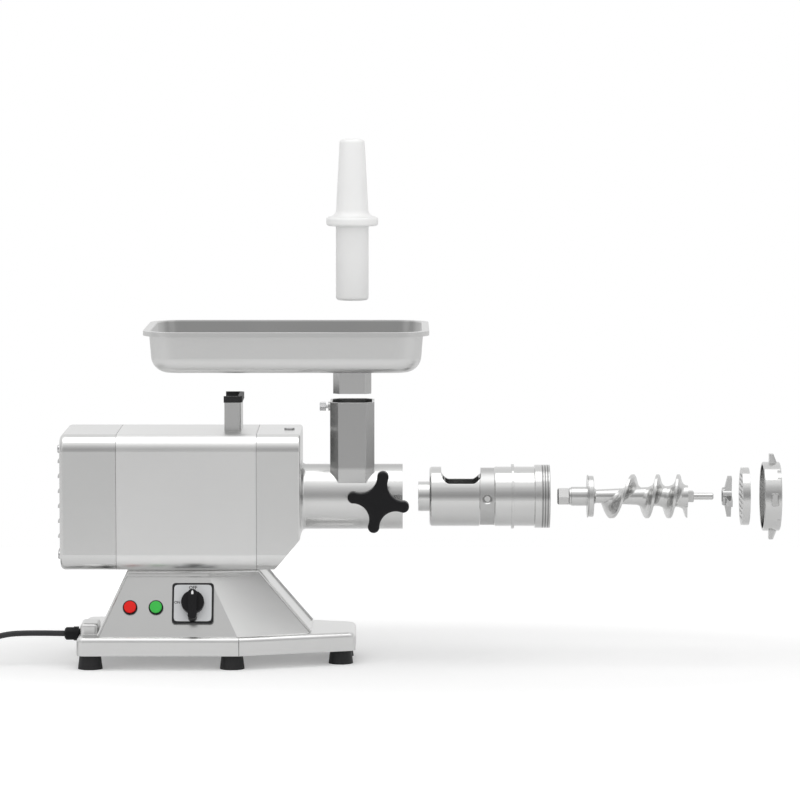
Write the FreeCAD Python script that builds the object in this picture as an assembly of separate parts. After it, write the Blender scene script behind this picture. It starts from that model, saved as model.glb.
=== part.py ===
import FreeCAD, Part
import math
import os

V = FreeCAD.Vector

# Electric meat grinder, in millimetres. +X runs along the worm towards the outlet, +Z is up,
# and the control panel faces -Y. The feet stand on Z = 0.

# Clearances
seam = 0.4
running_fit = 0.05
sliding_fit = 0.1
free_gap = 0.3

# Housing: rear cover, motor cover and gear case, one behind the other on the worm axis
axis_z = 200.0
housing_height = 164.0
housing_width = 160.0
housing_corner = 20.0
housing_wall = 3.0
rear_cover_length = 68.2
rear_edge_radius = 6.0
motor_cover_length = 168.1
gear_case_length = 52.2
gear_case_wall = 4.0
gear_front_wall = 8.0
gear_chamfer_x = 31.8
gear_chamfer_z = 38.6
gear_edge_radius = 3.0

# Louvres on the rear cover
louvre_count = 7
louvre_spacing = 18.1
louvre_width = 104.0
louvre_height = 7.0
louvre_depth = 3.6
louvre_drop = 5.0
louvre_wall = 1.2
louvre_belly_out = 0.75
louvre_belly_up = 0.2

# Base casting and what it stands on
foot_height = 17.5
foot_bottom_radius = 15.0
foot_top_radius = 12.8
foot_screw_radius = 3.0
foot_recess_radius = 6.5
foot_recess_depth = 8.0
screw_end_gap = 1.0
base_height = 22.5
base_wall = 5.0
base_edge_radius = 6.0
base_rear = 268.5
base_front = 66.0
base_kink = 73.4
base_half_width = 95.0
base_nose_half_width = 48.0
base_corner = 10.0
bottom_plate_thickness = 2.0
foot_boss_radius = 12.0
rear_foot_back = 252.7
middle_foot_back = 82.0
wide_foot_y = 75.0
nose_foot_ahead = 48.0
nose_foot_y = 30.0

# Pedestal between the base and the housing
pedestal_wall = 2.0
pedestal_rear = 243.2
pedestal_kink = 75.3
pedestal_front = 12.3
pedestal_half_width = 88.0
pedestal_nose_half_width = 52.0
pedestal_top_rear = 206.4
pedestal_top_kink = 114.7
pedestal_top_front = 54.0
pedestal_top_half_width = 56.0
pedestal_top_nose_half_width = 46.0
bead_height = 6.0
bead_proud = 1.5
bead_below_top = 2.5
wiring_hole_length = 90.0
wiring_hole_width = 40.0

# Controls on the pedestal's front panel, measured up the panel from the base
switch_back = 129.0
switch_up = 41.0
switch_plate_side = 50.0
switch_plate_thickness = 4.5
switch_plate_corner = 4.0
switch_plate_edge = 1.0
switch_body_side = 42.0
switch_body_depth = 38.0
switch_shaft_radius = 4.0
knob_radius = 13.75
knob_base_height = 7.0
knob_grip_width = 10.6
knob_grip_height = 15.0
knob_grip_corner = 4.3
knob_grip_up = 13.2
knob_grip_down = 23.0
stop_button_back = 204.5
start_button_back = 173.4
button_up = 36.2
button_cap_radius = 7.3
button_stem_radius = 4.0
button_stem_length = 18.0
button_proud = 5.2
button_travel = 3.0
button_edge = 1.2
panel_drill = 60.0
bezel_radius = 8.8
bezel_proud = 2.4
bezel_barrel_radius = 8.0
bezel_barrel_length = 16.0

# Hub sleeve, feed neck and their screws
hub_radius = 39.5
hub_length = 123.0
hub_root_fillet = 6.0
hub_seat_depth = 24.0
neck_ahead = 62.0
neck_length = 53.4
neck_width = 68.0
neck_chamfer = 10.0
neck_wall = 2.7
neck_top = 317.0
hub_notch_length = 11.0
hub_notch_height = 11.5
clamp_ahead = 93.7
clamp_boss_radius = 11.0
clamp_boss_reach = 47.0
clamp_stud_radius = 6.0
clamp_tip_radius = 4.5
clamp_tip_length = 4.0
star_reach = 37.5
star_lobe_radius = 7.0
star_waist = 17.5
star_edge_radius = 3.0
star_stud_sink = 3.0
star_boss_gap = 3.3
star_thickness = 15.0
star_hub_radius = 12.0
star_hub_length = 5.0
star_turn = 10.5
thumb_z = 310.0
thumb_boss_radius = 5.5
thumb_boss_length = 2.5
thumb_shank_radius = 2.5
thumb_head_radius = 5.4
thumb_head_length = 7.4
thumb_neck_length = 3.0
thumb_knurls = 18
thumb_knurl_depth = 0.5
thumb_tip_back = 1.0

# Tray support on the housing
support_back = 82.0
support_length = 20.0
support_height = 41.5
support_width = 70.0
support_sheet = 2.0
support_bend = 5.0
support_screw_spread = 36.0
trim_height = 6.0
trim_wall = 1.6
support_screw_radius = 2.0
support_screw_head_radius = 4.0
support_screw_head_height = 2.4
oil_plug_back = 14.5
oil_plug_radius = 6.5
oil_plug_height = 1.6
oil_plug_shank_radius = 5.0
oil_plug_slot = 1.6

# Tray and pusher
tray_back = 187.3
tray_length = 342.1
tray_width = 230.0
tray_depth = 50.0
tray_sheet = 1.5
tray_rim = 7.0
tray_lip = 5.5
tray_corner = 42.0
tray_taper = 4.0
tray_bottom_radius = 20.0
spout_gap = 1.0
spout_sheet = 1.5
spout_length = 30.0
pusher_shaft_radius = 19.8
pusher_shaft_length = 90.0
pusher_flange_radius = 31.5
pusher_flange_height = 11.0
pusher_handle_length = 94.0
pusher_handle_base_radius = 20.0
pusher_handle_top_radius = 15.3
pusher_edge_radius = 3.0
pusher_root_radius = 4.5
pusher_shaft_root_radius = 1.6

# Feed barrel, measured from the gear case's front face when it is pushed home
barrel_radius = 36.1
barrel_spigot_radius = 18.0
barrel_spigot_length = 13.7
barrel_bore_radius = 27.5
barrel_rear_wall = 6.5
plate_seat_depth = 5.3
barrel_feed_length = 48.0
barrel_feed_width = 62.0
barrel_feed_corner = 10.0
groove_width = 17.0
groove_depth = 1.3
dimple_radius = 6.5
dimple_depth = 3.2
bead_rise = 3.2
bead_width = 3.0
nose_radius = 38.4
nose_length = 19.0
thread_length = 10.6
key_radius = 2.0
key_length = 6.0
barrel_rear_chamfer = 2.0
nose_chamfer = 1.0

# Worm
washer_thickness = 1.0
washer_radius = 26.0
journal_radius = 11.5
journal_length = 22.6
hex_flats = 19.0
hex_length = 14.5
worm_flange_radius = 25.0
worm_flange_thickness = 6.7
worm_radius = 27.0
worm_flight_length = 114.7
worm_core_start = 8.0
worm_core_end = 13.5
worm_root_fillet = 3.0
hex_relief = 1.0
hex_relief_length = 2.0
flight_tip = 3.4
flight_root = 10.0
flight_waist = 5.9
flank_share = 0.3
flight_sink = 2.0
square_side = 13.0
square_length = 7.0
stud_radius = 4.2
stud_length = 24.0
first_half_turn_share = 0.182
half_turn_shares = [0.235, 0.148, 0.115, 0.117, 0.103]
flight_lead_in_share = 0.122
flight_step = 20.0

# Knife, perforated plate and ring nut
knife_radius = 25.5
knife_thickness = 11.0
knife_hub_radius = 10.5
knife_arm_width = 12.0
knife_arm_tip = 8.0
knife_tip_thickness = 5.0
knife_turn = 20.0
knife_hub_length = 3.0
knife_hub_flare = 1.0
plate_radius = 35.0
plate_thickness = 9.0
plate_hole_radius = 2.5
plate_hole_pitch = 7.3
plate_hole_field = 30.0
ring_radius = 42.0
ring_length = 20.8
ring_mouth_radius = 31.0
ring_mouth_flare = 4.0
lug_count = 4
lug_reach = 52.0
lug_width = 15.0
lug_back = 8.0
lug_length = 9.5
lug_tip_length = 5.0
lug_edge = 2.0
lug_sink = 1.5
ring_chamfer = 1.0
scallop_radius = 16.0
scallop_bite = 2.2

# How far the photograph shows each piece drawn out of its seat
barrel_out = 131.8
worm_out = 185.1
knife_out = 41.6
plate_out = 53.3
ring_out = 31.1
tray_up = 32.0
pusher_up = 170.0

# Gear train: a reverted pair of stages, motor to countershaft and back to the worm axis
fine_module = 1.25
motor_pinion_teeth = 13
counter_gear_teeth = 59
coarse_module = 2.5
counter_pinion_teeth = 12
output_gear_teeth = 24
fine_face = 10.0
coarse_face = 10.0
gear_side_gap = 2.0
counter_angle = 45.0
tooth_share = 0.38
tooth_root_share = 1.5
tooth_tip_share = 0.55
addendum_share = 0.8
dedendum_share = 1.2

# Motor, shafts and bearings
bearing_plate_thickness = 8.0
end_shield_thickness = 8.0
shield_back = 216.0
stator_radius = 60.0
stator_length = 84.0
stator_back = 188.0
winding_radius = 52.0
winding_bore_radius = 39.0
winding_length = 18.0
rotor_radius = 34.7
air_gap = 0.4
rotor_shaft_radius = 8.5
motor_bearing_radius = 20.0
motor_bearing_width = 12.0
counter_shaft_radius = 6.0
counter_bearing_radius = 14.0
counter_bearing_width = 6.0
drive_shaft_radius = 15.0
drive_nose_radius = 14.0
drive_bearing_radius = 27.5
drive_bearing_width = 11.0
drive_bearing_ahead = 6.0
drive_nose_ahead = 8.5
seal_width = 2.5
fan_radius = 45.0
fan_hub_radius = 14.0
fan_width = 14.0
fan_disc = 2.5
fan_blades = 9
fan_blade_thickness = 2.0
fan_back_gap = 10.0
cradle_length = 18.0
cradle_width = 70.0
post_radius = 7.0
post_offset_y = 62.0
post_offset_z = 64.0
cover_screw_radius = 2.5
cover_screw_head_radius = 5.0
cover_screw_head_height = 3.0
cover_screw_head_edge = 1.5
cover_screw_reach = 10.0
capacitor_radius = 18.0
capacitor_height = 58.0
capacitor_edge = 2.0
capacitor_back = 190.0
capacitor_y = 34.0

# Mains lead: gland, free stretch, put-away coil, tie and plug
cord_radius = 3.5
gland_y = -44.0
gland_z = 38.0
gland_radius = 7.75
gland_length = 17.0
gland_thread_radius = 6.0
gland_thread_length = 12.0
gland_nose = 2.0
gland_nut_length = 6.0
gland_nut_rise = 0.8
hump_width = 46.0
hump_top = 53.0
hump_corner = 5.0
hump_edge = 4.0
coil_outer_radius = 49.85
coil_pitch = 7.7
coil_half_turns_in = 5
coil_half_turns_out = 4
tie_thickness = 1.0
tie_width = 10.0
tail_length = 38.0
plug_length = 46.0
plug_face_radius = 18.5
plug_neck_radius = 6.0
plug_collar_length = 16.0
plug_collar_flare = 2.0
plug_shoulder = 6.0
plug_rim = 3.0
plug_pin_radius = 2.4
plug_pin_length = 19.0
plug_pin_spread = 9.5
plug_tilt = 9.0

# Derived places along X. The origin lies under the middle of the part as it is drawn out.
plate_back = barrel_rear_wall + washer_thickness + worm_flange_thickness + worm_flight_length
plate_back += free_gap + knife_thickness + free_gap
barrel_length = plate_back + plate_seat_depth
rear_reach = rear_cover_length + motor_cover_length + gear_case_length + louvre_depth
ring_rear = hub_seat_depth + barrel_length - thread_length
front_reach = ring_rear + ring_length + barrel_out + worm_out + plate_out + ring_out
gear_face_x = (rear_reach - front_reach) / 2
case_rear_x = gear_face_x - gear_case_length
cover_rear_x = case_rear_x - motor_cover_length
rear_end_x = cover_rear_x - rear_cover_length
neck_x = gear_face_x + neck_ahead
clamp_x = gear_face_x + clamp_ahead
base_rear_x = gear_face_x - base_rear
hump_length = base_rear - pedestal_rear - base_edge_radius / 2 - seam
base_bottom = foot_height
base_top = base_bottom + base_height
housing_bottom = axis_z - housing_height / 2
housing_top = axis_z + housing_height / 2
barrel_rear_x = gear_face_x + hub_seat_depth
washer_x = barrel_rear_x + barrel_rear_wall
worm_flange_x = washer_x + washer_thickness
flight_start_x = worm_flange_x + worm_flange_thickness
flight_end_x = flight_start_x + worm_flight_length
knife_x = flight_end_x + free_gap
plate_x = knife_x + knife_thickness + free_gap
ring_x = gear_face_x + ring_rear
tray_floor = housing_top + support_height + trim_wall + free_gap
tray_rim_z = tray_floor + tray_depth
centre_distance = fine_module * (motor_pinion_teeth + counter_gear_teeth) / 2
counter_y = centre_distance * math.cos(math.radians(counter_angle))
counter_z = axis_z + centre_distance * math.sin(math.radians(counter_angle))


def box(x0, x1, y0, y1, z0, z1):
    return Part.makeBox(x1 - x0, y1 - y0, z1 - z0, V(x0, y0, z0))


def rod_x(radius, x0, x1, y=0.0, z=axis_z):
    return Part.makeCylinder(radius, x1 - x0, V(x0, y, z), V(1, 0, 0))


def tube_x(outer, inner, x0, x1, y=0.0, z=axis_z):
    return rod_x(outer, x0, x1, y, z).cut(rod_x(inner, x0 - 1, x1 + 1, y, z))


def rod_z(radius, x, y, z0, z1):
    return Part.makeCylinder(radius, z1 - z0, V(x, y, z0))


def turned_x(points, y=0.0, z=axis_z):
    """A piece turned about a line along X, from (x, radius) points on its half outline."""
    outline = [V(x, y, z + r) for x, r in points]
    face = Part.Face(Part.makePolygon(outline + outline[:1]))
    return face.revolve(V(0, y, z), V(1, 0, 0), 360)


def rounded_polygon(points, radii):
    """A closed wire through points, with a tangent arc of the given radius at each corner."""
    count = len(points)
    starts = []
    ends = []
    middles = []
    for i in range(count):
        corner = points[i]
        back = (points[i - 1] - corner).normalize()
        ahead = (points[(i + 1) % count] - corner).normalize()
        half = back.getAngle(ahead) / 2
        reach = radii[i] / math.tan(half)
        bisector = (back + ahead).normalize()
        starts.append(corner + back * reach)
        ends.append(corner + ahead * reach)
        middles.append(corner + bisector * (radii[i] / math.sin(half) - radii[i]))
    edges = []
    for i in range(count):
        edges.append(Part.Arc(starts[i], middles[i], ends[i]).toShape())
        edges.append(Part.LineSegment(ends[i], starts[(i + 1) % count]).toShape())
    return Part.Wire(edges)


def prism(wire, direction):
    return Part.Face(wire).extrude(direction)


def rectangle_z(x, y, length, width, z):
    return [V(x - length / 2, y - width / 2, z), V(x + length / 2, y - width / 2, z),
            V(x + length / 2, y + width / 2, z), V(x - length / 2, y + width / 2, z)]


def housing_block(x0, x1, inset):
    """The housing's rounded section, drawn in by inset, from x0 to x1."""
    half_width = housing_width / 2 - inset
    half_height = housing_height / 2 - inset
    corners = [V(x0, -half_width, axis_z - half_height), V(x0, half_width, axis_z - half_height),
               V(x0, half_width, axis_z + half_height), V(x0, -half_width, axis_z + half_height)]
    return prism(rounded_polygon(corners, [housing_corner - inset] * 4), V(x1 - x0, 0, 0))


def edges_at(shape, axis, value):
    """The edges that lie wholly in one plane across the named axis."""
    found = []
    for edge in shape.Edges:
        low = getattr(edge.BoundBox, axis + "Min")
        high = getattr(edge.BoundBox, axis + "Max")
        if abs(low - value) < 0.01 and abs(high - value) < 0.01:
            found.append(edge)
    return found


def save(name, shape):
    shape.exportStep("parts/" + name + ".step")


os.makedirs("parts", exist_ok=True)

# Base casting: a shallow box, open below, that narrows towards the outlet
foot_places = []
for side in (-1, 1):
    foot_places.append((gear_face_x - rear_foot_back, side * wide_foot_y))
    foot_places.append((gear_face_x - middle_foot_back, side * wide_foot_y))
    foot_places.append((gear_face_x + nose_foot_ahead, side * nose_foot_y))


def plan_outline(rear, kink, front, half, nose_half, inset, z):
    """A six-cornered plan, wide behind the kink and narrowing to its nose, drawn in by inset."""
    rear_x = gear_face_x - rear + inset
    kink_x = gear_face_x - kink
    front_x = gear_face_x + front - inset
    return [V(rear_x, inset - half, z), V(kink_x, inset - half, z), V(front_x, inset - nose_half, z),
            V(front_x, nose_half - inset, z), V(kink_x, half - inset, z), V(rear_x, half - inset, z)]


def base_block(inset, z0, z1):
    plan = plan_outline(base_rear, base_kink, base_front, base_half_width, base_nose_half_width, inset, z0)
    return prism(rounded_polygon(plan, [base_corner - inset / 2] * 6), V(0, 0, z1 - z0))


base = base_block(0, base_bottom, base_top)
base = base.makeFillet(base_edge_radius, edges_at(base, "Z", base_top))
base = base.cut(base_block(base_wall, base_bottom - 1, base_top - base_wall))
boss_bottom = base_bottom + bottom_plate_thickness
screw_hole_end = base_top - base_wall - screw_end_gap
for x, y in foot_places:
    base = base.fuse(rod_z(foot_boss_radius, x, y, boss_bottom, base_top - base_wall))
hump_x = base_rear_x + (base_edge_radius + hump_length) / 2
hump_plan = rectangle_z(hump_x, gland_y, hump_length, hump_width, base_top - base_edge_radius)
hump = prism(rounded_polygon(hump_plan, [hump_corner] * 4), V(0, 0, hump_top - base_top + base_edge_radius))
hump = hump.makeFillet(hump_edge, edges_at(hump, "Z", hump_top))
base = base.fuse(hump).removeSplitter()
for x, y in foot_places:
    base = base.cut(rod_z(foot_screw_radius + running_fit, x, y, boss_bottom - 1, screw_hole_end))
base = base.cut(rod_x(gland_thread_radius + running_fit, base_rear_x - 1,
                      base_rear_x + gland_thread_length + free_gap, gland_y, gland_z))
save("base_casting", base)

bottom_plate = base_block(base_wall + free_gap, base_bottom, boss_bottom)
for x, y in foot_places:
    bottom_plate = bottom_plate.cut(rod_z(foot_screw_radius + running_fit, x, y, 0, base_top))
save("bottom_plate", bottom_plate)

feet = []
foot_screws = []
for x, y in foot_places:
    foot = Part.makeCone(foot_bottom_radius, foot_top_radius, foot_height, V(x, y, 0))
    foot = foot.cut(rod_z(foot_recess_radius, x, y, -1, foot_recess_depth))
    feet.append(foot.cut(rod_z(foot_screw_radius + running_fit, x, y, 0, base_top)))
    head_low = foot_recess_depth - foot_screw_radius
    head = rod_z(foot_recess_radius - free_gap, x, y, head_low, foot_recess_depth)
    foot_screws.append(head.fuse(rod_z(foot_screw_radius, x, y, foot_recess_depth,
                                       screw_hole_end - screw_end_gap)))
save("rubber_feet", Part.makeCompound(feet))
save("foot_screws", Part.makeCompound(foot_screws))

# Pedestal: folded sheet, leaning in towards the housing on every side
panel_rise = housing_bottom - base_top
panel_lean = math.atan((pedestal_half_width - pedestal_top_half_width) / panel_rise)
panel_out = V(0, -math.cos(panel_lean), math.sin(panel_lean))
panel_up = V(0, math.sin(panel_lean), math.cos(panel_lean))


def panel_point(back, up, out):
    """A point on the front panel: back from the gear case, up the sheet, and out along its normal."""
    foot = V(gear_face_x - back, -pedestal_half_width, base_top)
    return foot + panel_up * up + panel_out * out


def panel_rod(radius, back, up, out0, out1):
    return Part.makeCylinder(radius, out1 - out0, panel_point(back, up, out0), panel_out)


def panel_plate(back, up, length, height, corner, out0, out1):
    """A rounded rectangle lying on the panel, from out0 to out1 along the panel's normal."""
    middle = panel_point(back, up, out0)
    across = V(length / 2, 0, 0)
    along = panel_up * (height / 2)
    low = [middle - across - along, middle + across - along]
    high = [middle + across + along, middle - across + along]
    return prism(rounded_polygon(low + high, [corner] * 4), panel_out * (out1 - out0))


def panel_edges(shape, back, up, out):
    """The edges whose middles lie in the plane at this height off the panel."""
    level = panel_point(back, up, out)
    return [edge for edge in shape.Edges if abs((edge.CenterOfMass - level).dot(panel_out)) < 0.01]


def pedestal_section(share, inset, z):
    """The pedestal's plan at a share of its height, drawn in by inset."""
    def between(low, high):
        return low + (high - low) * share
    return plan_outline(between(pedestal_rear, pedestal_top_rear), between(pedestal_kink, pedestal_top_kink),
                        between(pedestal_front, -pedestal_top_front),
                        between(pedestal_half_width, pedestal_top_half_width),
                        between(pedestal_nose_half_width, pedestal_top_nose_half_width), inset, z)


def pedestal_block(inset, z0, z1):
    wires = []
    for z in (z0, z1):
        corners = pedestal_section((z - base_top) / panel_rise, inset, z)
        wires.append(Part.makePolygon(corners + corners[:1]))
    return Part.makeLoft(wires, True, True)


pedestal = pedestal_block(0, base_top, housing_bottom)
bead_top = housing_bottom - bead_below_top
pedestal = pedestal.fuse(pedestal_block(-bead_proud, bead_top - bead_height, bead_top))
sheet_inset = pedestal_wall / math.cos(panel_lean)
pedestal = pedestal.cut(pedestal_block(sheet_inset, base_top - 1, housing_bottom - pedestal_wall))
top_middle_x = gear_face_x - (pedestal_top_rear + pedestal_top_front) / 2
wiring_hole = box(top_middle_x - wiring_hole_length / 2, top_middle_x + wiring_hole_length / 2,
                  -wiring_hole_width / 2, wiring_hole_width / 2, housing_bottom - 2 * pedestal_wall,
                  housing_bottom + 2 * housing_wall)
pedestal = pedestal.cut(wiring_hole)
pedestal = pedestal.cut(panel_rod(switch_shaft_radius + free_gap, switch_back, switch_up,
                                  -2 * pedestal_wall, pedestal_wall))
for back in (stop_button_back, start_button_back):
    pedestal = pedestal.cut(panel_rod(bezel_barrel_radius + sliding_fit, back, button_up,
                                      -2 * pedestal_wall, pedestal_wall))
save("pedestal_shell", pedestal)

# Rotary switch: body behind the panel, plate in front of it, knob on its shaft
shaft_hole = panel_rod(switch_shaft_radius + running_fit, switch_back, switch_up, -panel_drill, panel_drill)
switch_body = panel_plate(switch_back, switch_up, switch_body_side, switch_body_side, switch_plate_corner,
                          -pedestal_wall - switch_body_depth, -pedestal_wall)
save("switch_body", switch_body.cut(shaft_hole))
switch_plate = panel_plate(switch_back, switch_up, switch_plate_side, switch_plate_side, switch_plate_corner,
                           0, switch_plate_thickness)
face_edges = panel_edges(switch_plate, switch_back, switch_up, switch_plate_thickness)
switch_plate = switch_plate.makeFillet(switch_plate_edge, face_edges)
save("switch_plate", switch_plate.cut(shaft_hole))
knob_back = switch_plate_thickness + free_gap
knob = panel_rod(knob_radius, switch_back, switch_up, knob_back, knob_back + knob_base_height)
grip_middle = switch_up + (knob_grip_up - knob_grip_down) / 2
grip = panel_plate(switch_back, grip_middle, knob_grip_width, knob_grip_up + knob_grip_down,
                   knob_grip_corner, knob_back, knob_back + knob_grip_height)
knob = knob.fuse(grip)
knob = knob.fuse(panel_rod(switch_shaft_radius, switch_back, switch_up, -switch_body_depth / 2, knob_back))
save("switch_knob", knob.removeSplitter())

# Stop and start buttons in their threaded bezels
bezels = []
for name, back in (("stop_button", stop_button_back), ("start_button", start_button_back)):
    bezel = panel_rod(bezel_radius, back, button_up, 0, bezel_proud)
    bezel = bezel.fuse(panel_rod(bezel_barrel_radius, back, button_up, -bezel_barrel_length, 0))
    cap_pocket = panel_rod(button_cap_radius + sliding_fit, back, button_up, -button_travel - free_gap,
                           bezel_proud + 1)
    stem_hole = panel_rod(button_stem_radius + sliding_fit, back, button_up, -bezel_barrel_length - 1, 0)
    bezels.append(bezel.cut(cap_pocket).cut(stem_hole))
    cap = panel_rod(button_cap_radius, back, button_up, 0, button_proud)
    cap = cap.makeFillet(button_edge, panel_edges(cap, back, button_up, button_proud))
    save(name, cap.fuse(panel_rod(button_stem_radius, back, button_up, -button_stem_length, 0)))
save("button_bezels", Part.makeCompound(bezels))

# Housing covers
rear_cover = housing_block(rear_end_x, cover_rear_x - seam, 0)
rear_cover = rear_cover.makeFillet(rear_edge_radius, edges_at(rear_cover, "X", rear_end_x))
rear_cover = rear_cover.cut(housing_block(rear_end_x + housing_wall, cover_rear_x + 1, housing_wall))


def louvre_outline(z, grow):
    """Side view of one hood, open below: a quarter round on the cover's rear face."""
    top = V(rear_end_x, -louvre_width / 2 - grow, z + louvre_height / 2 + grow)
    tip = V(rear_end_x - louvre_depth - grow, top.y, z - louvre_height / 2 - grow)
    bend = V(rear_end_x - (louvre_depth + grow) * louvre_belly_out, top.y,
             z + louvre_height * louvre_belly_up)
    heel = V(rear_end_x, top.y, tip.z)
    hood = [Part.Arc(top, bend, tip).toShape(), Part.LineSegment(tip, heel).toShape(),
            Part.LineSegment(heel, top).toShape()]
    return prism(Part.Wire(hood), V(0, louvre_width + 2 * grow, 0))


for i in range(louvre_count):
    louvre_z = axis_z - louvre_drop + (i - (louvre_count - 1) / 2) * louvre_spacing
    rear_cover = rear_cover.fuse(louvre_outline(louvre_z, 0))
    slot = louvre_outline(louvre_z, -louvre_wall).translated(V(louvre_wall, 0, -2 * louvre_wall))
    slot_half = louvre_width / 2 - louvre_wall
    slot_low = louvre_z - louvre_height / 2 - 2 * louvre_wall
    slot = slot.fuse(box(rear_end_x - louvre_wall, rear_end_x + housing_wall + 1, -slot_half, slot_half,
                         slot_low, louvre_z - louvre_wall))
    rear_cover = rear_cover.cut(slot)
for y in (-post_offset_y, post_offset_y):
    for z in (-post_offset_z, post_offset_z):
        rear_cover = rear_cover.cut(rod_x(cover_screw_radius + sliding_fit, rear_end_x - 1,
                                          rear_end_x + housing_wall + 1, y, axis_z + z))
save("rear_cover", rear_cover.removeSplitter())

motor_cover = housing_block(cover_rear_x, case_rear_x - seam, 0)
motor_cover = motor_cover.cut(housing_block(cover_rear_x - 1, case_rear_x + 1, housing_wall))
motor_cover = motor_cover.cut(wiring_hole)
support_x = gear_face_x - support_back
for y in (-support_screw_spread / 2, support_screw_spread / 2):
    motor_cover = motor_cover.cut(rod_z(support_screw_radius + running_fit, support_x, y,
                                        housing_top - housing_wall - 1, housing_top + 1))
save("motor_cover", motor_cover)


def gear_chamfer(inset):
    """The wedge taken off the gear case's lower front edge."""
    slope = math.hypot(gear_chamfer_x, gear_chamfer_z)
    shift = V(-gear_chamfer_z, 0, gear_chamfer_x) * (inset / slope)
    low = V(gear_face_x - gear_chamfer_x, -housing_width, housing_bottom) + shift
    high = V(gear_face_x, -housing_width, housing_bottom + gear_chamfer_z) + shift
    run = high - low
    start = low - run
    stop = high + run
    away = V(gear_chamfer_z, 0, -gear_chamfer_x)
    outline = Part.makePolygon([start, stop, stop + away, start + away, start])
    return prism(outline, V(0, 2 * housing_width, 0))


gear_case = housing_block(case_rear_x, gear_face_x, 0).cut(gear_chamfer(0))
gear_case = gear_case.makeFillet(gear_edge_radius, edges_at(gear_case, "X", gear_face_x))
cavity = housing_block(case_rear_x - 1, gear_face_x - gear_front_wall, gear_case_wall)
gear_case = gear_case.cut(cavity.cut(gear_chamfer(gear_case_wall)))
bearing_rear_x = gear_face_x + drive_bearing_ahead - 2 * drive_bearing_width
wall_rear_x = gear_face_x - gear_front_wall
gear_case = gear_case.fuse(rod_x(drive_bearing_radius + gear_case_wall, bearing_rear_x, wall_rear_x))
gear_case = gear_case.cut(rod_x(drive_bearing_radius, bearing_rear_x - 1, gear_face_x + 1))
counter_front_x = wall_rear_x + counter_bearing_width
gear_case = gear_case.cut(rod_x(counter_bearing_radius, bearing_rear_x, counter_front_x,
                                counter_y, counter_z))
oil_plug_x = gear_face_x - oil_plug_back
oil_shank_low = housing_top - gear_case_wall
gear_case = gear_case.cut(rod_z(oil_plug_shank_radius, oil_plug_x, 0, oil_shank_low - 1, housing_top + 1))
save("gear_case", gear_case.removeSplitter())

oil_plug = rod_z(oil_plug_radius, oil_plug_x, 0, housing_top, housing_top + oil_plug_height)
oil_plug = oil_plug.fuse(rod_z(oil_plug_shank_radius, oil_plug_x, 0, oil_shank_low, housing_top))
save("oil_plug", oil_plug.cut(box(oil_plug_x - oil_plug_radius, oil_plug_x + oil_plug_radius,
                                  -oil_plug_slot / 2, oil_plug_slot / 2,
                                  housing_top + oil_plug_height / 2, housing_top + 2 * oil_plug_height)))

# Hub sleeve with its eight-sided feed neck, clamp boss and thumb-screw boss


def chamfered_block(x, length, width, chamfer, z0, z1):
    """An upright block of rectangular plan with its four corners cut off."""
    a = length / 2
    b = width / 2
    plan = [(a - chamfer, -b), (a, chamfer - b), (a, b - chamfer), (a - chamfer, b),
            (chamfer - a, b), (-a, b - chamfer), (-a, chamfer - b), (chamfer - a, -b)]
    corners = [V(x + px, py, z0) for px, py in plan]
    return prism(Part.makePolygon(corners + corners[:1]), V(0, 0, z1 - z0))


def rod_y(radius, x, z, y0, y1):
    """A rod along Y, with y0 below y1."""
    return Part.makeCylinder(radius, y1 - y0, V(x, y0, z), V(0, 1, 0))


neck_inner_length = neck_length - 2 * neck_wall
neck_inner_width = neck_width - 2 * neck_wall
neck_inner_chamfer = neck_chamfer - neck_wall * (2 - math.sqrt(2))
hub_front_x = gear_face_x + hub_length
hub_bore_radius = barrel_radius + sliding_fit
seat_radius = barrel_spigot_radius + sliding_fit
neck_rear_x = neck_x - neck_length / 2

hub = rod_x(hub_radius, gear_face_x, hub_front_x)
flare = rod_x(hub_radius + hub_root_fillet, gear_face_x, gear_face_x + hub_root_fillet)
flare = flare.cut(Part.makeTorus(hub_radius + hub_root_fillet, hub_root_fillet,
                                 V(gear_face_x + hub_root_fillet, 0, axis_z), V(1, 0, 0)))
hub = hub.fuse(flare)
hub = hub.fuse(chamfered_block(neck_x, neck_length, neck_width, neck_chamfer, axis_z, neck_top))
hub = hub.fuse(rod_y(clamp_boss_radius, clamp_x, axis_z, -clamp_boss_reach, 0))
hub = hub.fuse(rod_x(thumb_boss_radius, neck_rear_x - thumb_boss_length, neck_rear_x + 1, 0, thumb_z))
hub = hub.cut(rod_x(hub_bore_radius, barrel_rear_x - free_gap, hub_front_x + 1))
hub = hub.cut(chamfered_block(neck_x, neck_inner_length, neck_inner_width, neck_inner_chamfer,
                              axis_z, neck_top + 1))
hub = hub.cut(rod_x(seat_radius, gear_face_x, barrel_rear_x))
hub = hub.cut(rod_x(drive_bearing_radius, gear_face_x - 1, gear_face_x + drive_bearing_ahead))
hub = hub.cut(rod_y(clamp_stud_radius + running_fit, clamp_x, axis_z, -clamp_boss_reach - 1, 0))
hub = hub.cut(rod_x(thumb_shank_radius + running_fit, neck_rear_x - thumb_boss_length - 1,
                    neck_rear_x + neck_wall + 1, 0, thumb_z))
hub = hub.cut(box(hub_front_x - hub_notch_length, hub_front_x + 1, -hub_radius - 1, -hub_bore_radius / 2,
                  axis_z - hub_notch_height / 2, axis_z + hub_notch_height / 2))
save("hub_sleeve", hub.removeSplitter())

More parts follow.
